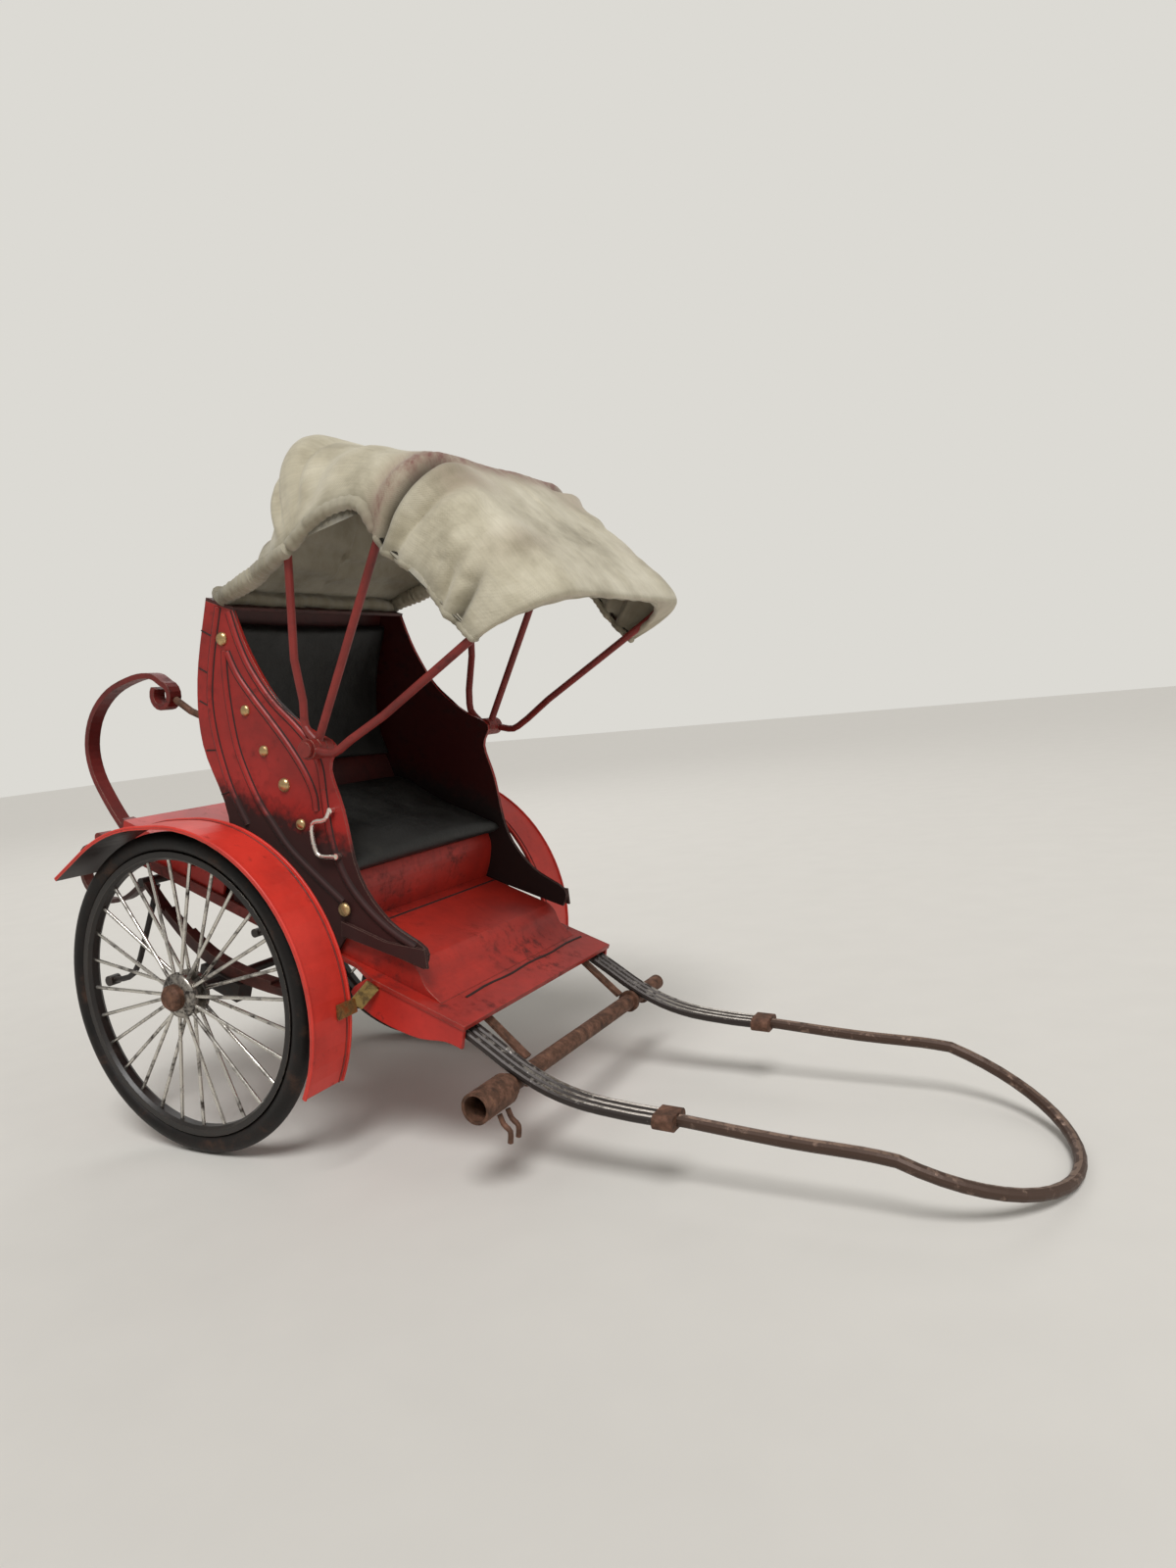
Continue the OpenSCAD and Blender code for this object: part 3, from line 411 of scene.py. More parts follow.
# the side panels' faces towards the middle are given painted shade
panelRed = makeEnamel("panelRedEnamel", "#a5241e", "#861c17", "#120604", 0.4, panelGrime=True,
                      inside="#3f1210")
floorRed = makeEnamel("floorRedEnamel", "#ad281c", "#8f2018", "#34120e", 0.55)
deepRed = makeEnamel("deepRedEnamel", "#6f1c17", "#4c1310", "#1a0b09", 0.45, gloss=0.5)
hoopRed = makeEnamel("hoopRedEnamel", "#8a2b25", "#6f211c", "#33120e", 0.3, gloss=0.48)
# painted shade: a darker copy of the red for the back panel and the top rail, inside the body
shadedInnerRed = makeEnamel("shadedInnerRedEnamel", "#4a1410", "#34100c", "#120705", 0.5, gloss=0.55)
springBrown = makeEnamel("springBrownEnamel", "#4f251e", "#331915", "#17100e", 0.6, gloss=0.5)
railRed = makeEnamel("railRedEnamel", "#8a2a20", "#641b15", "#21100d", 0.55, gloss=0.5)
seamBlack = makeEnamel("seamShadowPaint", "#2a0f0c", "#1a0a08", "#120806", 0.3, chip="#4a2a22", gloss=0.6)
blackPaint = makeEnamel("blackIronPaint", "#2b2320", "#15110f", "#3f2a20", 0.35, chip="#6e625a", gloss=0.45)
rimPaint = makeEnamel("rimBlackPaint", "#231d1a", "#120f0e", "#3d2b22", 0.3, chip="#9a938a", gloss=0.4)
tyreLacquer = makeTyreLacquer()
spokeSteel = makeWornMetal("patinatedWire", "#d6d2ca", "#3a322c", 0.43, 8.0, rough=(0.25, 0.5))
hubSteel = makeWornMetal("hubSteel", "#a8a29a", "#2a2320", 0.46, 2.2)
# the tubes' and the rod's bright tops are a painted highlight, with wear
tubeSteel = makeWornMetal("gunmetalTube", "#c6bfb7", "#332c29", 0.72, 3.0, rough=(0.22, 0.42), topWearAndHighlight=0.55)
rodBronze = makeWornMetal("brownedRod", "#a3897a", "#4a372d", 0.66, 3.2, rough=(0.34, 0.5), topWearAndHighlight=0.28)
agedBrass = makeWornMetal("agedBrass", "#a48c58", "#5f4d2c", 0.46, 2.4, rough=(0.42, 0.6))
rivetBrass = makeWornMetal("rivetBrass", "#c9ab7c", "#80664a", 0.4, 0.9, rough=(0.3, 0.5))
bareWire = makeWornMetal("bareWire", "#f0ece4", "#a29a90", 0.3, 1.5, rough=(0.25, 0.45))
rustedIron = makeRustedIron()
canvas = makeCanvas()
leather = makeLeather()
print("materials made")


# CAD nodes that keep their shape, each given its finish

finishOf = {
    "left_tyre": tyreLacquer, "right_tyre": tyreLacquer,
    "left_rim": rimPaint, "right_rim": rimPaint,
    "left_spokes": spokeSteel, "right_spokes": spokeSteel,
    "left_hub": hubSteel, "right_hub": hubSteel,
    "left_hub_cap": rustedIron, "right_hub_cap": rustedIron,
    "axle": blackPaint, "axle_blocks": blackPaint, "leaf_springs": springBrown,
    "spring_hangers": blackPaint, "scroll_straps": springBrown, "rear_tie_bar": blackPaint,
    "rear_stands": blackPaint, "frame_rails": railRed, "floor_plate": floorRed,
    "side_skirts": brightRed, "footwell_pan": floorRed, "seat_riser": floorRed,
    "seat_board": deepRed, "left_side_panel": panelRed, "right_side_panel": panelRed,
    "back_panel": shadedInnerRed, "top_rail": shadedInnerRed, "rear_box": brightRed, "c_springs": deepRed,
    "spring_links": rustedIron, "left_fender": fenderRed, "right_fender": fenderRed,
    "fender_straps": agedBrass, "fender_stays": railRed, "shaft_tubes": tubeSteel,
    "shaft_clamps": rustedIron, "shaft_loop": rodBronze, "crossbar": rustedIron,
    "crossbar_sleeve": rustedIron, "sleeve_prongs": rustedIron, "crossbar_saddles": rustedIron,
    "struts": rustedIron, "rear_bow": hoopRed, "middle_bow": hoopRed, "front_bow": hoopRed,
    "pivot_pins": hoopRed, "grab_handles": bareWire,
}
for nodeName, material in finishOf.items():
    node = frame["nodes"][nodeName]
    node.data.materials.clear()
    node.data.materials.append(material)
print("CAD nodes finished:", len(finishOf))


# Wires and beads

def drawWire(name, points, thickness, material, body, cut=None):
    # a line of points extruded from one corner, then given a round section;
    # cut is a point and the way outward from it, and what lies behind it is taken off
    startFresh()
    bpy.ops.mesh.primitive_plane_add(size=mm, location=points[0])
    bpy.ops.object.mode_set(mode="EDIT")
    bpy.ops.mesh.merge(type="CENTER")
    for start, end in zip(points, points[1:]):
        bpy.ops.mesh.extrude_region_move(TRANSFORM_OT_translate={"value": end - start})
    bpy.ops.object.mode_set(mode="OBJECT")
    bpy.ops.object.convert(target="CURVE")
    wire = bpy.context.object
    wire.data.bevel_depth = thickness * mm / 2
    wire.data.bevel_resolution = 3
    wire.data.use_fill_caps = True
    bpy.ops.object.convert(target="MESH")
    wire = bpy.context.object
    placeInMesh(wire)
    bpy.ops.object.mode_set(mode="EDIT")
    bpy.ops.mesh.select_all(action="SELECT")
    if cut:
        bpy.ops.mesh.bisect(plane_co=cut[0], plane_no=cut[1], clear_inner=True, use_fill=True)
        bpy.ops.mesh.select_all(action="SELECT")
    bpy.ops.mesh.normals_make_consistent(inside=False)
    bpy.ops.object.mode_set(mode="OBJECT")
    smoothFaces(wire, 50)
    return finishPiece(wire, name, material, body)


def curveThrough(points, steps):
    # a smooth line through a few points, as tuples
    line = []
    for i in range(len(points) - 1):
        before = points[max(i - 1, 0)]
        start, end = points[i], points[i + 1]
        after = points[min(i + 2, len(points) - 1)]
        for j in range(steps):
            t = j / steps
            line.append(tuple(0.5 * (2 * b + (c - a) * t + (2 * a - 5 * b + 4 * c - d) * t * t
                                     + (3 * b - a - 3 * c + d) * t ** 3)
                              for a, b, c, d in zip(before, start, end, after)))
    return line + [points[-1]]


sidePanel = {
    "beadWidth": 2.1,
    "beadSink": 0.25,
    "cutDepth": 0.4,         # wires are cut off this far inside the panel's face
    "grimeShadeWidth": 6.8,        # a sunk round wire in dark paint along both feet of a bead: grime and painted shade in the crease
    "grimeShadeDepth": 2.94,
    "seamWidth": 0.45,
    "domeRadius": 2.15,
    "domeRise": 0.62,        # height of a dome as a share of its radius
    "smallDomes": (1, 2, 4),
    "smallShare": 0.82,
    "footDome": 5,           # set further out than the rest
    "footStandoff": 1.0,
    "domes": [(-21.1, 105.3), (-7.5, 87.0), (2.2, 77.4), (12.1, 70.0), (20.8, 60.6), (42.8, 42.3)],
    "beads": {
        "rearBead": [(-24.6, 114.2), (-24.4, 105.3), (-23.9, 96.5), (-22.2, 85.9), (-17.6, 75.4),
                     (-11.2, 65.6), (-6.2, 59.6), (0.6, 53.2)],
        "leftMoulding": [(-19.5, 102.2), (-17.8, 95.5), (-14.0, 85.8), (-8.8, 75.6), (-3.1, 68.3),
                         (3.8, 61.4), (10.0, 57.1), (17.6, 52.2), (26.5, 48.6), (41.0, 43.6)],
        "rightMoulding": [(-18.3, 102.0), (-13.0, 96.6), (-5.4, 91.6), (3.4, 86.6), (11.6, 81.6),
                          (18.8, 76.2), (23.6, 71.0), (25.4, 66.6)],
        "frontBead": [(-20.2, 113.8), (-14.6, 106.2), (-8.2, 99.6), (1.6, 93.0), (12.0, 88.6),
                      (19.4, 84.6), (24.0, 79.6), (26.6, 73.6)],
        "lowBead": [(26.6, 73.6), (29.6, 66.5), (33.6, 58.8), (40.2, 51.0), (48.4, 45.8),
                    (58.4, 42.2), (68.4, 40.6)],
    },
    "seams": [((-29.9, 105.6), (-24.9, 105.0)), ((-28.6, 94.2), (-24.2, 93.6)),
              ((-26.4, 84.4), (-22.5, 84.0)), ((-20.6, 70.2), (-15.6, 72.0)),
              ((-11.6, 58.8), (-7.6, 61.4))],
}


def addPanelMouldings(side):
    tag = "left" if side > 0 else "right"
    face = side * model["halfWidth"]
    behind = (Vector((0, face - side * sidePanel["cutDepth"], 0)) * mm, (0, side, 0))
    for beadName, corners in sidePanel["beads"].items():
        path = curveThrough(corners, 4)
        raised = face - side * sidePanel["beadSink"]
        drawWire(f"{tag}_{beadName}", [place(x, raised, z) for x, z in path],
                 sidePanel["beadWidth"], panelRed, "carriage", cut=behind)
        # a dark wire sunk below the face shows along the bead's feet: grime and painted shade
        sunk = face - side * sidePanel["grimeShadeDepth"]
        drawWire(f"{tag}_{beadName}_dirt", [place(x, sunk, z) for x, z in path],
                 sidePanel["grimeShadeWidth"], seamBlack, "carriage", cut=behind)
    for number, (start, end) in enumerate(sidePanel["seams"]):
        line = [place(start[0], face, start[1]), place(end[0], face, end[1])]
        drawWire(f"{tag}_stripSeam_{number}", line, sidePanel["seamWidth"], seamBlack, "carriage",
                 cut=behind)


def addDomes(side):
    # brass dome rivets: a ball, flattened against the panel, its back cut off
    tag = "left" if side > 0 else "right"
    for number, (x, z) in enumerate(sidePanel["domes"]):
        startFresh()
        share = sidePanel["smallShare"] if number in sidePanel["smallDomes"] else 1.0
        radius = sidePanel["domeRadius"] * share
        bpy.ops.mesh.primitive_uv_sphere_add(segments=20, ring_count=12, radius=radius * mm)
        dome = bpy.context.object
        bpy.ops.object.mode_set(mode="EDIT")
        bpy.ops.mesh.bisect(plane_co=(0, 0, 0), plane_no=(0, 0, 1), clear_inner=True, use_fill=True)
        bpy.ops.mesh.select_all(action="SELECT")
        bpy.ops.transform.resize(value=(1, 1, sidePanel["domeRise"]), center_override=(0, 0, 0))
        bpy.ops.object.mode_set(mode="OBJECT")
        dome.rotation_euler = (-side * math.pi / 2, 0, 0)
        standoff = sidePanel["footStandoff"] if number == sidePanel["footDome"] else 0
        dome.location = place(x, side * (model["halfWidth"] + standoff), z)
        placeInMesh(dome)
        smoothFaces(dome, 40)
        finishPiece(dome, f"{tag}_dome_{number}", rivetBrass, "carriage")


for side in model["sides"]:
    addPanelMouldings(side)
    addDomes(side)
print("side panel mouldings and domes made")


# Hub domes: a shallow pressed dish over the outer flange, round the rusty cap

hubDome = {"radius": 6.8, "height": 1.7, "flange": 2.8, "track": 54.3, "sink": 0.1}


def addHubDome(side):
    tag = "left" if side > 0 else "right"
    startFresh()
    bpy.ops.mesh.primitive_uv_sphere_add(segments=48, ring_count=24, radius=hubDome["radius"] * mm)
    dome = bpy.context.object
    bpy.ops.object.mode_set(mode="EDIT")
    bpy.ops.mesh.bisect(plane_co=(0, 0, 0), plane_no=(0, 0, 1), clear_inner=True, use_fill=True)
    bpy.ops.mesh.select_all(action="SELECT")
    bpy.ops.transform.resize(value=(1, 1, hubDome["height"] / hubDome["radius"]), center_override=(0, 0, 0))
    bpy.ops.object.mode_set(mode="OBJECT")
    dome.rotation_euler = (-side * math.pi / 2, 0, 0)
    outward = side * (hubDome["track"] + hubDome["flange"] - hubDome["sink"])
    dome.location = axle + Vector((0, outward, 0)) * mm
    placeInMesh(dome)
    smoothFaces(dome, 40)
    finishPiece(dome, f"{tag}_hub_dome", hubSteel, f"{tag}_wheel")


for side in model["sides"]:
    addHubDome(side)
print("hub domes made")


# Fender lips: a rolled wire along each edge of each fender

fender = {
    "radius": 52.7,          # outer face, from the axle
    "innerY": 48.5,
    "width": 16.0,
    "lead": {-1: 7.0, 1: 15.0},
    "low": -28,
    "back": 30,
    "tail": 16.0,
    "lip": 1.0,
    "lipInset": 0.4,
    "bead": 0.6,
    "beadInset": 1.9,
}


def fenderLine(side, y):
    # unpitched, from the fender's front foot over the wheel to the end of its straight tail
    r, lead = fender["radius"], fender["lead"][side]
    points = [Vector((lead + r * math.cos(math.radians(a)), y, r * math.sin(math.radians(a))))
              for a in range(fender["low"], 90, 4)]
    points += [Vector((r * math.cos(math.radians(a)), y, r * math.sin(math.radians(a))))
               for a in range(90, 91 + fender["back"], 5)]
    slope = math.radians(fender["back"])
    points.append(points[-1] + fender["tail"] * Vector((-math.cos(slope), 0, -math.sin(slope))))
    return [axle + p * mm for p in points]


def addFenderLips(side):
    tag = "left" if side > 0 else "right"
    inner, outer = fender["innerY"], fender["innerY"] + fender["width"]
    drawWire(f"{tag}_fenderOuterLip", fenderLine(side, side * (outer - fender["lipInset"])), fender["lip"],
             fenderRed, "carriage")
    drawWire(f"{tag}_fenderInnerLip", fenderLine(side, side * (inner + fender["lipInset"])), fender["lip"],
             fenderRed, "carriage")
    drawWire(f"{tag}_fenderBead", fenderLine(side, side * (inner + fender["beadInset"])), fender["bead"],
             railRed, "carriage")


for side in model["sides"]:
    addFenderLips(side)
print("fender lips made")


# Floor: the slot across the footboard and the seam at the foot of the riser

floorTrim = {
    "slotX": 81.6,
    "slotFrom": -30,
    "slotTo": 40,
    "slotWidth": 0.9,
    "slotWander": 0.3,
    "seamX": 44.4,
    "seamHalf": 38,
    "seamWidth": 0.7,
    "deckZ": 27.6,
    "panZ": 34.8,
}
slotLine = [place(floorTrim["slotX"] + floorTrim["slotWander"] * math.sin(y), y, floorTrim["deckZ"] - 0.1)
            for y in range(floorTrim["slotFrom"], floorTrim["slotTo"] + 1, 5)]
seamLine = [place(floorTrim["seamX"], y, floorTrim["panZ"] - 0.05)
            for y in range(-floorTrim["seamHalf"], floorTrim["seamHalf"] + 1, 4)]
drawWire("footboard_slot", slotLine, floorTrim["slotWidth"], seamBlack, "carriage")
drawWire("footwell_seam", seamLine, floorTrim["seamWidth"], seamBlack, "carriage")
print("floor trim made")


# Grids laid out by a rule: cloth and padding

def layGrid(name, columns, rows, placePoint, lay=None):
    # a flat grid whose corners are then moved by placePoint(u, v); lay gives the cloth's own millimetres
    startFresh()
    bpy.ops.mesh.primitive_grid_add(x_subdivisions=columns, y_subdivisions=rows, size=1)
    grid = bpy.context.object
    shares = [(vertex.co.x + 0.5, vertex.co.y + 0.5) for vertex in grid.data.vertices]
    for vertex, (u, v) in zip(grid.data.vertices, shares):
        vertex.co = placePoint(u, v)
    if lay:
        grid.data.uv_layers[0].name = "clothLay"
        for loop in grid.data.loops:
            grid.data.uv_layers[0].data[loop.index].uv = lay(*shares[loop.vertex_index])
    grid.name = name
    return grid, shares


def addMark(piece, name, shares, rule):
    mark = piece.data.attributes.new(name, "FLOAT", "POINT")
    for index, (u, v) in enumerate(shares):
        mark.data[index].value = rule(u, v)


def softStep(value, low, high):
    t = min(max((value - low) / (high - low), 0.0), 1.0)
    return t * t * (3 - 2 * t)


def bump(value, centre, width):
    return math.exp(-((value - centre) / width) ** 2)


# Hood cloth. Each row has its station along the cloth and then its angle forward of straight up,
# reach over the top, reach of the side hem, half width, and the corner's size across and up,
# all measured from the pivot pins. Past the front bow the cloth is turned under it.
bowAngle = {"rail": -58.5, "rear": -21.2, "middle": 7.6, "front": 43.3}
hood = {
    "rows": [(-58.5, -58.5, 60.6, 58.0, 40.5, 1.5, 1.5), (-45.0, -45.0, 60.5, 54.5, 41.5, 14.0, 5.5),
             (-34.0, -34.0, 67.5, 54.0, 43.8, 26.0, 13.0), (-27.0, -27.0, 80.0, 54.5, 45.8, 24.0, 24.0),
             (-21.2, -21.2, 88.0, 56.0, 46.9, 17.3, 17.3), (-13.0, -13.0, 85.4, 62.0, 46.9, 17.3, 17.3),
             (-6.0, -6.0, 84.6, 66.5, 46.7, 17.3, 16.0), (1.6, 1.6, 85.0, 68.6, 46.8, 17.3, 15.5),
             (7.6, 7.6, 86.6, 63.0, 46.9, 17.3, 17.3), (12.0, 12.0, 85.6, 60.5, 46.9, 17.3, 17.3),
             (25.0, 25.0, 83.6, 60.8, 46.9, 17.3, 17.3), (36.0, 36.0, 85.6, 60.2, 46.9, 17.3, 17.3),
             (43.3, 43.3, 88.0, 62.0, 46.9, 17.3, 17.3), (46.0, 45.6, 87.6, 63.0, 46.7, 18.5, 18.5),
             (50.0, 44.9, 85.4, 63.6, 45.4, 31.0, 21.0)],
    # each run's first and last station, the bodies it joins, and where its blend from one to the
    # other starts and ends, in mm from the pins and square to the angle in its middle
    "runs": {
        "hood_curtain": {
            "from": bowAngle["rail"], "to": bowAngle["rear"], "bodies": ("carriage", "rear_hoop"),
            "middle": -40.0, "bendFrom": -18.4, "bendTo": 17.3, "columns": 60},
        "hood_roof_rear": {
            "from": bowAngle["rear"], "to": bowAngle["middle"], "bodies": ("rear_hoop", "middle_hoop"),
            "middle": -6.8, "bendFrom": -13.2, "bendTo": 15.3, "columns": 56},
        "hood_roof_front": {
            "from": bowAngle["middle"], "to": 50.0, "bodies": ("middle_hoop", "front_hoop"),
            "middle": 25.45, "bendFrom": -18.7, "bendTo": 18.7, "columns": 84},
    },
    "across": 170,
    "liningDustAndShade": 0.5,
    "thickness": 0.7,
    "hemRear": 1.95,         # radius of the rolled hem
    "hemFront": 1.1,
    "frontEdge": {"radius": 0.8, "ripple": 0.1, "ripples": 90, "steps": 110},
    "foot": {"x": -24.6, "halfWidth": 41.2, "z": 117.3, "sway": 0.4, "sways": 17,
             "radius": 1.9, "bunch": 1.4, "ripple": 0.3, "steps": 100},
}


def hoodRow(station):
    # the cloth's row at a station, on smooth lines through the rows above
    rows = hood["rows"]
    i = max(k for k in range(len(rows) - 1) if rows[k][0] <= station + 1e-6 or k == 0)
    a, b = rows[i], rows[i + 1]
    before, after = rows[max(i - 1, 0)], rows[min(i + 2, len(rows) - 1)]
    span = b[0] - a[0]
    t = min(max((station - a[0]) / span, 0.0), 1.0)
    values = []
    for k in range(1, 7):
        slopeA = (b[k] - before[k]) / max(b[0] - before[0], 1e-6) * span
        slopeB = (after[k] - a[k]) / max(after[0] - a[0], 1e-6) * span
        value = ((2 * t ** 3 - 3 * t * t + 1) * a[k] + (t ** 3 - 2 * t * t + t) * slopeA
                 + (3 * t * t - 2 * t ** 3) * b[k] + (t ** 3 - t * t) * slopeB)
        values.append(value)
    return values


def crossSection(station, v):
    # v runs from 0 at the right hem over the top to 1 at the left hem
    angle, reach, hem, half, acrossCorner, upCorner = hoodRow(station)
    sideRun = max(reach - upCorner - hem, 0.3)
    cornerRun = math.pi / 2 * math.sqrt((acrossCorner ** 2 + upCorner ** 2) / 2)
    topRun = half - acrossCorner
    total = sideRun + cornerRun + topRun
    way = (1 - abs(2 * v - 1)) * total          # from the hem upwards
    sign = -1 if v < 0.5 else 1
    if way < sideRun:
        y, out, outward = sign * half, hem + way * (reach - upCorner - hem) / sideRun, Vector((sign, 0.0))
    elif way < sideRun + cornerRun:
        a = (way - sideRun) / cornerRun * math.pi / 2
        y = sign * (half - acrossCorner + acrossCorner * math.cos(a))
        out = reach - upCorner + upCorner * math.sin(a)
        outward = Vector((sign * math.cos(a) * upCorner, math.sin(a) * acrossCorner)).normalized()
    else:
        y, out, outward = sign * (total - way), reach, Vector((0.0, 1.0))
    return angle, y, out, outward, way, total, sign


def foldDepth(angle, way, sign):
    # how far the cloth stands off its even sheet, in mm, inward where it is negative
    phase = 0.0 if sign < 0 else 1.7
    high = softStep(way, 2, 14)
    depth = 0.0
    # deep, narrow gathered folds at the middle bow, dying out over the top
    fade = 1 - softStep(way, 26, 46)
    depth -= 3.8 * bump(angle, 10.9 - 0.02 * way, 1.1) * fade * softStep(way, -2, 6)
    depth += 1.6 * bump(angle, 13.3 - 0.01 * way, 1.1) * fade
    depth -= 2.0 * bump(angle, 16.0 + 0.05 * way, 1.3) * fade * bump(way, 14, 12)
    depth += 0.9 * bump(angle, 19.4 + 0.05 * way, 1.8) * fade
    depth -= 1.4 * bump(angle, 4.2 + 0.02 * way, 1.1) * (1 - softStep(way, 16, 30)) * high
    # soft diagonals from the front bow's foot up into the roof, pinched where they meet the bow
    if angle > 12:
        slant = angle - bowAngle["front"] + 0.55 * way
        depth += 0.5 * math.sin(slant * 0.42 + phase) * bump(angle, 27, 9) * (1 - softStep(way, 26, 44))
        depth -= 2.2 * bump(angle, 39.8 - 0.30 * way, 1.4) * (1 - softStep(way, 8, 20)) * softStep(way, -1, 2)
        depth += 1.3 * bump(angle, 37.0 - 0.34 * way, 1.5) * (1 - softStep(way, 8, 20))
        depth -= 1.4 * bump(angle, 34.0 - 0.40 * way, 1.5) * (1 - softStep(way, 6, 16)) * softStep(way, 0, 3)
        depth -= (1.0 * bump(angle, 27.0, 1.6) * bump(way, 7, 2.2)
                  + 1.0 * bump(angle, 34.5, 1.4) * bump(way, 10, 2))
    # gathers that fall from the rear bow's corner to the rail
    if angle < -14:
        fan = angle + 21.2 + 0.12 * (way - 34)
        depth += 0.9 * math.sin(fan * 0.62 + phase) * bump(angle, -36, 12) * (0.35 + 0.65 * high)
        depth -= 2.4 * bump(fan, -3.4, 1.3) * softStep(way, 2, 12) * (1 - softStep(way, 40, 60))
        depth += 1.3 * bump(fan, -6.0, 1.4) * softStep(way, 2, 10) * (1 - softStep(way, 36, 60))
        depth -= 1.6 * bump(fan, -9.0, 1.6) * softStep(way, 2, 10) * (1 - softStep(way, 30, 54))
        depth -= 1.8 * bump(angle, -17.6 + 0.05 * way, 1.3) * (1 - softStep(way, 30, 44)) * high
    # drape between the rear and the middle bow
    if bowAngle["rear"] < angle < bowAngle["middle"]:
        depth -= 1.2 * bump(angle, -14 + 0.16 * way, 2.4) * softStep(way, 2, 8) * (1 - softStep(way, 18, 34))
        depth += 0.8 * bump(angle, -8 + 0.12 * way, 2.6) * softStep(way, 2, 8) * (1 - softStep(way, 18, 34))
    spot = Vector((angle * 0.07, way * 0.04, sign * 3.0))
    depth += 0.55 * noise.fractal(spot, 0.7, 2.1, 4) * (0.4 + 0.6 * high)
    # the sheet touches the bows, so nothing pushes inward there
    hold = max(bump(angle, bow, 1.5) for bow in (bowAngle["rear"], bowAngle["middle"], bowAngle["front"]))
    if depth < 0:
        depth *= 1 - hold
    return depth * softStep(angle, bowAngle["rail"], -54) * (1 - softStep(angle, 43.0, 44.6))


def hoodPoint(station, v, lift=0.0):
    angle, y, out, outward, way, total, sign = crossSection(station, v)
    depth = foldDepth(angle, way, sign) * (0.0 if station > 46 else 1.0) + lift
    y += outward.x * depth
    out += outward.y * depth
    a = math.radians(angle)
    return place(model["pivotX"] + out * math.sin(a), y, model["pivotZ"] + out * math.cos(a))


def wayUp(station, v):
    return crossSection(station, v)[4]


def stainRule(angle, v):
    way = wayUp(angle, v)
    up = softStep(way, 4, 34)
    band = 1.1 * bump(angle, 6.6 + 1.0 * up, 2.6 + 1.6 * up) * (0.75 + 0.25 * up)
    patches = 0.4 * bump(angle, 16, 3.4) * bump(way, 34, 12) + 0.2 * bump(angle, 33, 4) * bump(way, 30, 12)
    return min(band + patches, 1)


# dust, and painted shade in the deep folds, the gathers and along the rail; a little darker near the hem
def dustAndShadeRule(angle, v):
    way = wayUp(angle, v)
    fold = 0.8 * bump(angle, 11.4 - 0.02 * way, 1.7) * (1 - softStep(way, 18, 46))
    fold += 0.5 * bump(angle, 39.8 - 0.30 * way, 1.5) * (1 - softStep(way, 6, 18))
    rail = 0.85 * bump(angle, bowAngle["rail"], 5.5)
    gather = 0.3 * bump(angle, -34, 7) * (1 - softStep(way, 10, 60))
    hem = 0.3 * (1 - softStep(way, 0, 5))
    return min(fold + rail + gather + hem, 0.9)


def addHoodRun(name, run):
    def angleAt(u):
        return run["from"] + (run["to"] - run["from"]) * u

    def lay(u, v):
        return (angleAt(u) * 1.45, v * crossSection(angleAt(u), v)[5] * 2)

    sheet, shares = layGrid(name + "_cloth", run["columns"], hood["across"],
                            lambda u, v: hoodPoint(angleAt(u), v), lay)
    addMark(sheet, "stain", shares, lambda u, v: stainRule(angleAt(u), v))
    # the dust mark also holds painted shade
    addMark(sheet, "dust", shares, lambda u, v: dustAndShadeRule(angleAt(u), v))
    area = sum(polygon.area for polygon in sheet.data.polygons)
    length = max(sum((hoodPoint(angleAt((i + 1) / 24), v) - hoodPoint(angleAt(i / 24), v)).length
                     for i in range(24)) for v in (0.25, 0.5))
    width = area / length
    bpy.ops.object.mode_set(mode="EDIT")
    bpy.ops.mesh.select_all(action="SELECT")
    bpy.ops.mesh.normals_make_consistent(inside=False)
    bpy.ops.object.mode_set(mode="OBJECT")
    middleFace = min(sheet.data.polygons, key=lambda p: abs(p.center.y))
    a = math.radians(run["middle"])
    if middleFace.normal.dot(direction(math.sin(a), 0, math.cos(a))) < 0:
        sheet.data.flip_normals()
    wall = sheet.modifiers.new("wall", "SOLIDIFY")
    wall.thickness = hood["thickness"] * mm
    wall.offset = -0.6
    layerCount = len(sheet.data.vertices)
    applyModifiers(sheet)
    # the lining, the layer nearer the hoops' pivot, is kept darker than the outside: painted shade, and more
    # dust
    layers = (range(layerCount), range(layerCount, 2 * layerCount))
    lining = min(layers, key=lambda layer: sum((sheet.data.vertices[i].co - pivot).length for i in layer))
    dust = sheet.data.attributes["dust"].data
    for i in lining:
        dust[i].value = max(dust[i].value, hood["liningDustAndShade"])
    smoothFaces(sheet, 60)
    finishPiece(sheet, name + "_cloth", canvas, None)
    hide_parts(name)
    return sheet, (width, length), area


def bendWith(piece, run):
    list(run["bodies"])
    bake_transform(piece)


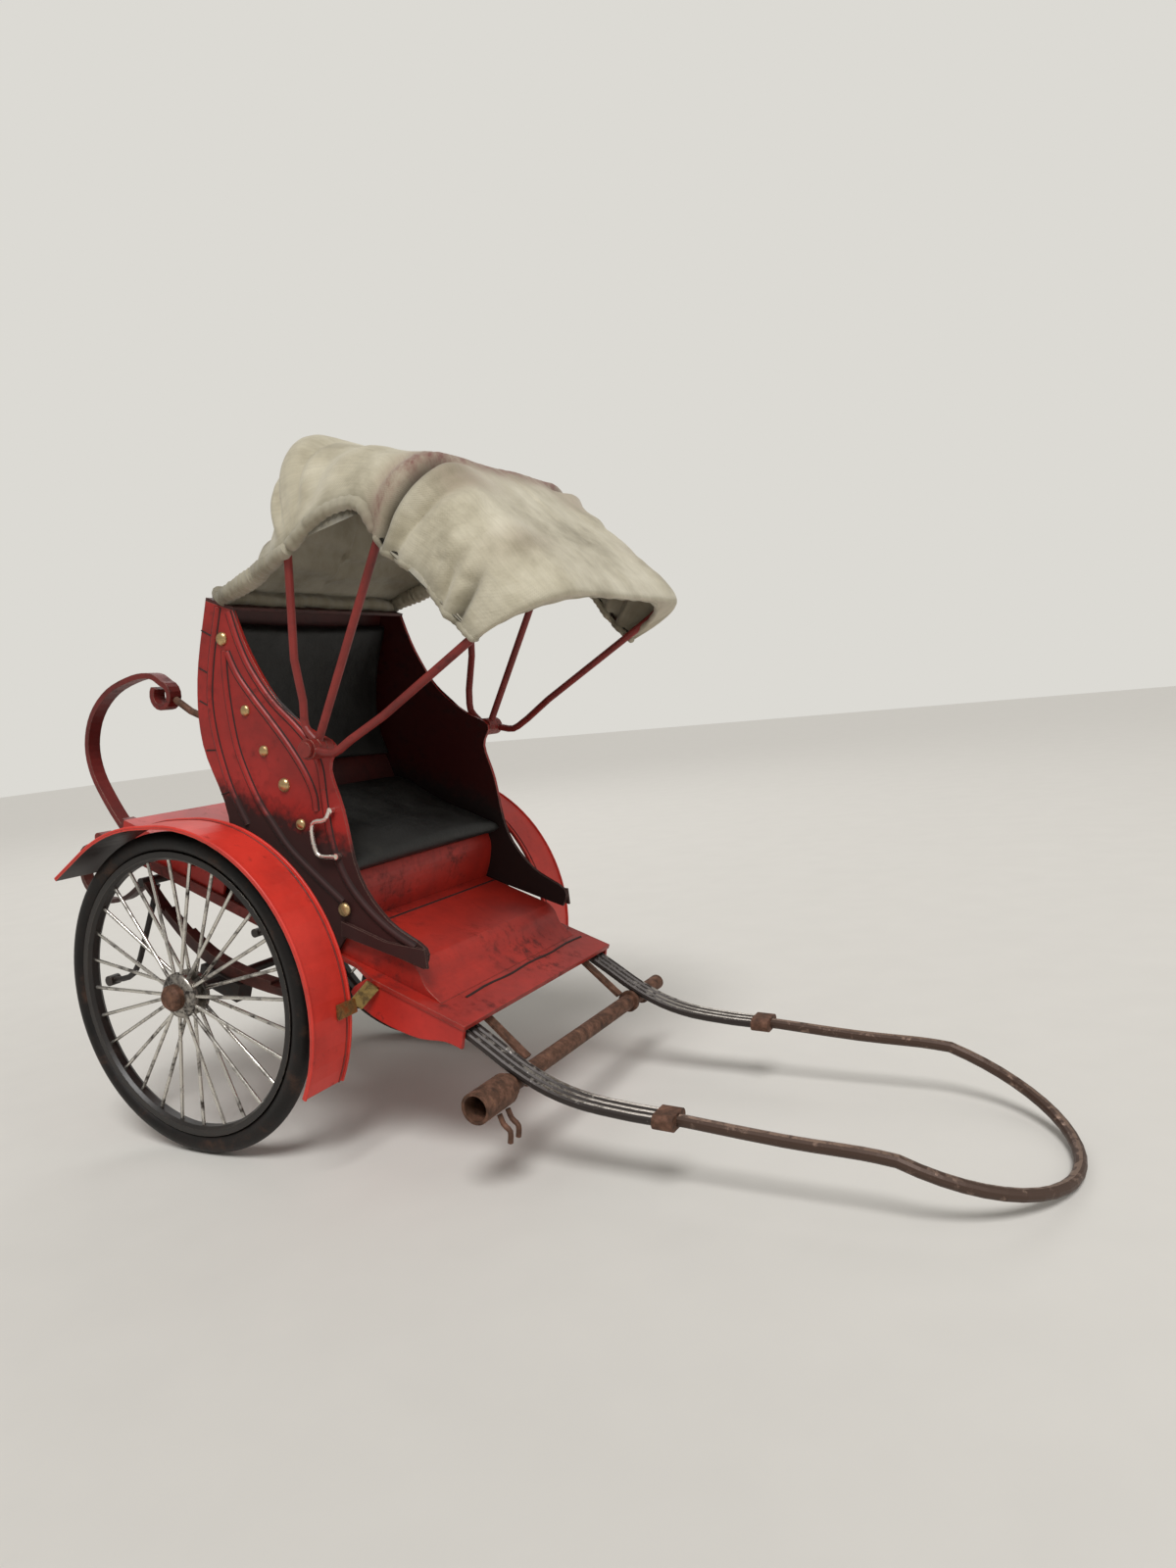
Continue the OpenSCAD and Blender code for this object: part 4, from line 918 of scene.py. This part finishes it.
def ropeAlong(name, centre, radius, steps, around, sides=14, marks=None):
    # a closed rolled hem: rings of points round a line that never runs along the way called around
    points = [centre(i / steps) for i in range(steps + 1)]

    def ringPoint(u, v):
        i = round(u * steps)
        ahead = (points[min(i + 1, steps)] - points[max(i - 1, 0)]).normalized()
        across = ahead.cross(around).normalized()
        lift = across.cross(ahead)
        a = 2 * math.pi * v
        r = radius(u, a) * mm
        if i in (0, steps):
            r *= 0.35
        return points[i] + (across * math.cos(a) + lift * math.sin(a)) * r

    def lay(u, v):
        return (u * steps * 1.1, v * 9.0)

    rope, shares = layGrid(name, steps, sides, ringPoint, lay)
    for markName, rule in (marks or {}).items():
        addMark(rope, markName, shares, rule)
    startFresh()
    rope.select_set(True)
    bpy.context.view_layer.objects.active = rope
    bpy.ops.object.mode_set(mode="EDIT")
    bpy.ops.mesh.select_all(action="SELECT")
    bpy.ops.mesh.remove_doubles(threshold=1e-6)
    bpy.ops.mesh.select_all(action="DESELECT")
    bpy.ops.mesh.select_non_manifold()
    bpy.ops.mesh.fill_holes(sides=0)
    bpy.ops.mesh.select_all(action="SELECT")
    bpy.ops.mesh.normals_make_consistent(inside=False)
    bpy.ops.object.mode_set(mode="OBJECT")
    smoothFaces(rope, 60)
    return finishPiece(rope, name, canvas, None)


def addHem(name, start, end, side):
    v = 0.0 if side < 0 else 1.0

    def centre(u):
        return hoodPoint(start + (end - start) * u, v, -0.3)

    def radius(u, a):
        angle = start + (end - start) * u
        gather = 1 + 0.10 * math.sin(angle * 3.1 + side) + 0.07 * noise.noise(Vector((angle * 0.7, a, side)))
        return hemRadius(angle) * gather

    return ropeAlong(name, centre, radius, max(int((end - start) * 1.5), 16), Vector((0, 1, 0)), marks={
        "stain": lambda u, w: 0.5 * stainRule(start + (end - start) * u, 0.0),
        "dust": lambda u, w: 0.55 * dustAndShadeRule(start + (end - start) * u, 0.0) + 0.12})


def hemRadius(angle):
    thick = hood["hemFront"] + (hood["hemRear"] - hood["hemFront"]) * (1 - softStep(angle, 2, 12))
    return thick * (1 + 0.45 * bump(angle, -44, 14) - 0.25 * bump(angle, bowAngle["middle"], 3))


def footLine(u):
    # the bunched foot lies along the middle of the rail's top
    foot = hood["foot"]
    rise = foot["sway"] * math.sin(u * foot["sways"])
    return place(foot["x"], (2 * u - 1) * foot["halfWidth"], foot["z"] + rise)


def footRadius(u, a):
    foot = hood["foot"]
    return (foot["radius"] + foot["bunch"] * abs(math.sin(a))
            + foot["ripple"] * math.sin(u * 61) * math.cos(u * 23))


def frontRadius(u, a):
    edge = hood["frontEdge"]
    return edge["radius"] + edge["ripple"] * math.sin(u * edge["ripples"])


for runName, run in hood["runs"].items():
    sheet, flat, area = addHoodRun(runName, run)
    hems = [addHem(f"{runName}_{'left' if side > 0 else 'right'}_hem", run["from"], run["to"], side)
            for side in model["sides"]]
    if runName == "hood_roof_front":
        # the front edge is turned over into a soft roll across the front bow
        hems.append(ropeAlong("hood_front_hem", lambda u: hoodPoint(run["to"], u, -0.2), frontRadius,
                              hood["frontEdge"]["steps"], direction(0.71, 0, -0.7), marks={
                                  "stain": lambda u, w: 0.0, "dust": lambda u, w: 0.2}))
    if runName == "hood_curtain":
        # the foot of the curtain is bunched along the back's top rail
        # the roll's dust mark paints the shade inside the body onto it, with dust
        hems.append(ropeAlong("hood_rail_roll", footLine, footRadius,
                              hood["foot"]["steps"], direction(0.95, 0, -0.3), marks={
                                  "stain": lambda u, w: 0.0, "dust": lambda u, w: 0.55}))
    for piece in [sheet] + hems:
        bendWith(piece, run)
    min(area, flat[0] * flat[1])
    print(runName, "laid, flat size in mm:", [round(side / mm, 1) for side in flat])


# Cushions: crowned leather pads, their sides drawn in between the corners

def smoothPad(name, halfX, halfY, height, crown, pull, material, toPlace, seed):
    # a rounded pad in its own flat frame: x along, y across, z up; toPlace maps it onto the seat
    def padPoint(u, v, top):
        x, y = 2 * u - 1, 2 * v - 1
        inX = 1 - pull * (1 - y * y) * abs(x) ** 4
        inY = 1 - pull * (1 - x * x) * abs(y) ** 4
        edge = min(1 - abs(x), 1 - abs(y))
        roundOff = math.sqrt(max(1 - (1 - min(edge / 0.10, 1.0)) ** 2, 0.0))
        swell = (1 - x ** 4) * (1 - y ** 4)
        wrinkle = 0.22 * noise.fractal(Vector((x * 2.2 + seed, y * 3.0, seed)), 0.8, 2.0, 3)
        z = height * (0.5 + 0.5 * roundOff) if top else height * 0.5 * (1 - roundOff)
        if top:
            z += roundOff * (crown * swell + wrinkle)
        return toPlace(x * halfX * inX, y * halfY * inY, z)

    halves = []
    for top in (True, False):
        half, shares = layGrid(name, 60, 84, lambda u, v: padPoint(u, v, top))
        halves.append(half)
    startFresh()
    for half in halves:
        half.select_set(True)
    bpy.context.view_layer.objects.active = halves[0]
    bpy.ops.object.join()
    pad = bpy.context.object
    bpy.ops.object.mode_set(mode="EDIT")
    bpy.ops.mesh.select_all(action="SELECT")
    bpy.ops.mesh.remove_doubles(threshold=1e-6)
    bpy.ops.mesh.normals_make_consistent(inside=False)
    bpy.ops.object.mode_set(mode="OBJECT")
    smoothFaces(pad, 60)
    finishPiece(pad, name, material, "carriage")
    return pad


seat = {
    "rear": -5.0, "front": 41.4, "baseZ": 51.7, "height": 4.2, "crown": 2.8, "halfWidth": 38.7,
    "pull": 0.035, "climb": 3.0,
}
backPad = {"bottomZ": 64.5, "topZ": 109.6, "height": 4.4, "crown": 1.6, "halfWidth": 38.4, "pull": 0.03,
           "standoff": 3.3}
backCurve = curveThrough([(-30.0, 114.7), (-28.7, 90.6), (-22.4, 71.4), (-7.6, 53.0), (0.0, 27.6)], 8)


def backX(z):
    # where the back's rear edge runs at a height
    for upper, lower in zip(backCurve, backCurve[1:]):
        if lower[1] <= z <= upper[1]:
            share = (upper[1] - z) / max(upper[1] - lower[1], 1e-6)
            return upper[0] + (lower[0] - upper[0]) * share
    return backCurve[0][0]


def onSeat(x, y, z):
    middle = (seat["rear"] + seat["front"]) / 2
    forward = x / ((seat["front"] - seat["rear"]) / 2)
    rise = seat["climb"] * softStep(-forward, -0.2, 1.0)       # the pad climbs a little towards the back
    return place(middle + x, y, seat["baseZ"] + z + rise * (z / seat["height"]) * 0.8)


def onBack(x, y, z):
    # x runs up the back, z stands forward of it
    height = (backPad["bottomZ"] + backPad["topZ"]) / 2 + x
    return place(backX(height) + backPad["standoff"] + z, y, height)


seatPad = smoothPad("seat_pad", (seat["front"] - seat["rear"]) / 2, seat["halfWidth"], seat["height"],
                    seat["crown"], seat["pull"], leather, onSeat, 1.3)
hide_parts("seat_cushion")
restPad = smoothPad("back_pad", (backPad["topZ"] - backPad["bottomZ"]) / 2, backPad["halfWidth"],
                    backPad["height"], backPad["crown"], backPad["pull"], leather, onBack, 6.1)
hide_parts("back_cushion")
print("cushions made")


# Studio: pale floor, pale wall, soft lamps, camera

def makePaleBackdrop(name, colour):
    # matt pale paper with a faint cloudy tone
    material, tree, level, shader = startMaterial(name)
    fibre = addNode(tree, "ShaderNodeTexNoise", {"Scale": 0.05, "Detail": 4.0}, {"Vector": level})
    tone = addNode(tree, "ShaderNodeMapRange", {"To Min": 0.97, "To Max": 1.03},
                   {"Value": fibre.outputs["Fac"]})
    tint = addNode(tree, "ShaderNodeMix", {"data_type": "RGBA", "blend_type": "MULTIPLY", 0: 1.0, 6: colour},
                   {7: tone.outputs["Result"]})
    tree.links.new(tint.outputs[2], shader.inputs["Base Color"])
    shader.inputs["Roughness"].default_value = 0.95
    return material


startFresh()
bpy.ops.mesh.primitive_plane_add(size=6.0, location=(0, 0, -0.0002))
floor = bpy.context.object
floor.name = "studio_floor"
floor.data.materials.append(makePaleBackdrop("palePaper", "#d9d6d0"))

world = bpy.data.worlds.new("studio")
bpy.context.scene.world = world
world.use_nodes = True
skyTree = world.node_tree
lampSky = skyTree.nodes["Background"]
lampSky.inputs["Color"].default_value = hexToLinear("#d2cfc9")
lampSky.inputs["Strength"].default_value = 0.45
# the camera sees an even pale wall, and reflections see part of it
paleWall = addNode(skyTree, "ShaderNodeBackground", {"Color": "#dcdad4", "Strength": 1.0})
ray = addNode(skyTree, "ShaderNodeLightPath")
seen = addNode(skyTree, "ShaderNodeMath", {"operation": "MAXIMUM"},
               {0: ray.outputs["Is Camera Ray"], 1: ray.outputs["Is Transmission Ray"]})
shiny = addNode(skyTree, "ShaderNodeMath", {"operation": "MULTIPLY_ADD", 1: 0.35},
                {0: ray.outputs["Is Glossy Ray"], 2: seen.outputs["Value"]})
sky = addNode(skyTree, "ShaderNodeMixShader", links={
    0: shiny.outputs["Value"], 1: lampSky.outputs["Background"], 2: paleWall.outputs["Background"]})
skyTree.links.new(sky.outputs["Shader"], skyTree.nodes["World Output"].inputs["Surface"])

lamps = {
    "keyLamp": {"at": (0.34, -0.62, 1.15), "softAngle": 24, "strength": 2.1},
    "fillLamp": {"at": (0.9, -0.1, 0.6), "size": 0.7, "watts": 1.4},
    "backLamp": {"at": (-0.6, 0.7, 0.9), "size": 0.6, "watts": 1.8},
}
target = Vector((0, 0, 0.1))
for lampName, lamp in lamps.items():
    if "strength" in lamp:
        light = bpy.data.lights.new(lampName, "SUN")
        light.angle = math.radians(lamp["softAngle"])
        light.energy = lamp["strength"]
    else:
        light = bpy.data.lights.new(lampName, "AREA")
        light.size = lamp["size"]
        light.energy = lamp["watts"]
    lightObject = bpy.data.objects.new(lampName, light)
    bpy.context.scene.collection.objects.link(lightObject)
    lightObject.location = lamp["at"]
    lightObject.rotation_euler = (target - Vector(lamp["at"])).to_track_quat("-Z", "Y").to_euler()

camera = {
    "at": (0.17035, -0.2676, 0.1272),
    "azimuth": 28.34,
    "elevation": 4.72,
    "roll": -5.73,
    "lens": 23.82,
    "sensorHeight": 36.0,
}
azimuth, elevation, roll = (math.radians(camera[key]) for key in ("azimuth", "elevation", "roll"))
back = Vector((math.sin(azimuth) * math.cos(elevation), -math.cos(azimuth) * math.cos(elevation),
               math.sin(elevation)))
levelRight = Vector((math.cos(azimuth), math.sin(azimuth), 0))
levelUp = back.cross(levelRight)
right = levelRight * math.cos(roll) + levelUp * math.sin(roll)
up = back.cross(right)
lens = bpy.data.cameras.new("camera")
lens.sensor_fit = "VERTICAL"
lens.sensor_height = camera["sensorHeight"]
lens.sensor_width = camera["sensorHeight"] * 0.75
lens.lens = camera["lens"]
lens.clip_start, lens.clip_end = 0.005, 20
cameraObject = bpy.data.objects.new("camera", lens)
bpy.context.scene.collection.objects.link(cameraObject)
cameraObject.matrix_world = Matrix.Translation(camera["at"]) @ Matrix((right, up, back)).transposed().to_4x4()
bpy.context.scene.camera = cameraObject
bpy.context.scene.view_settings.view_transform = "Standard"
print("studio set")
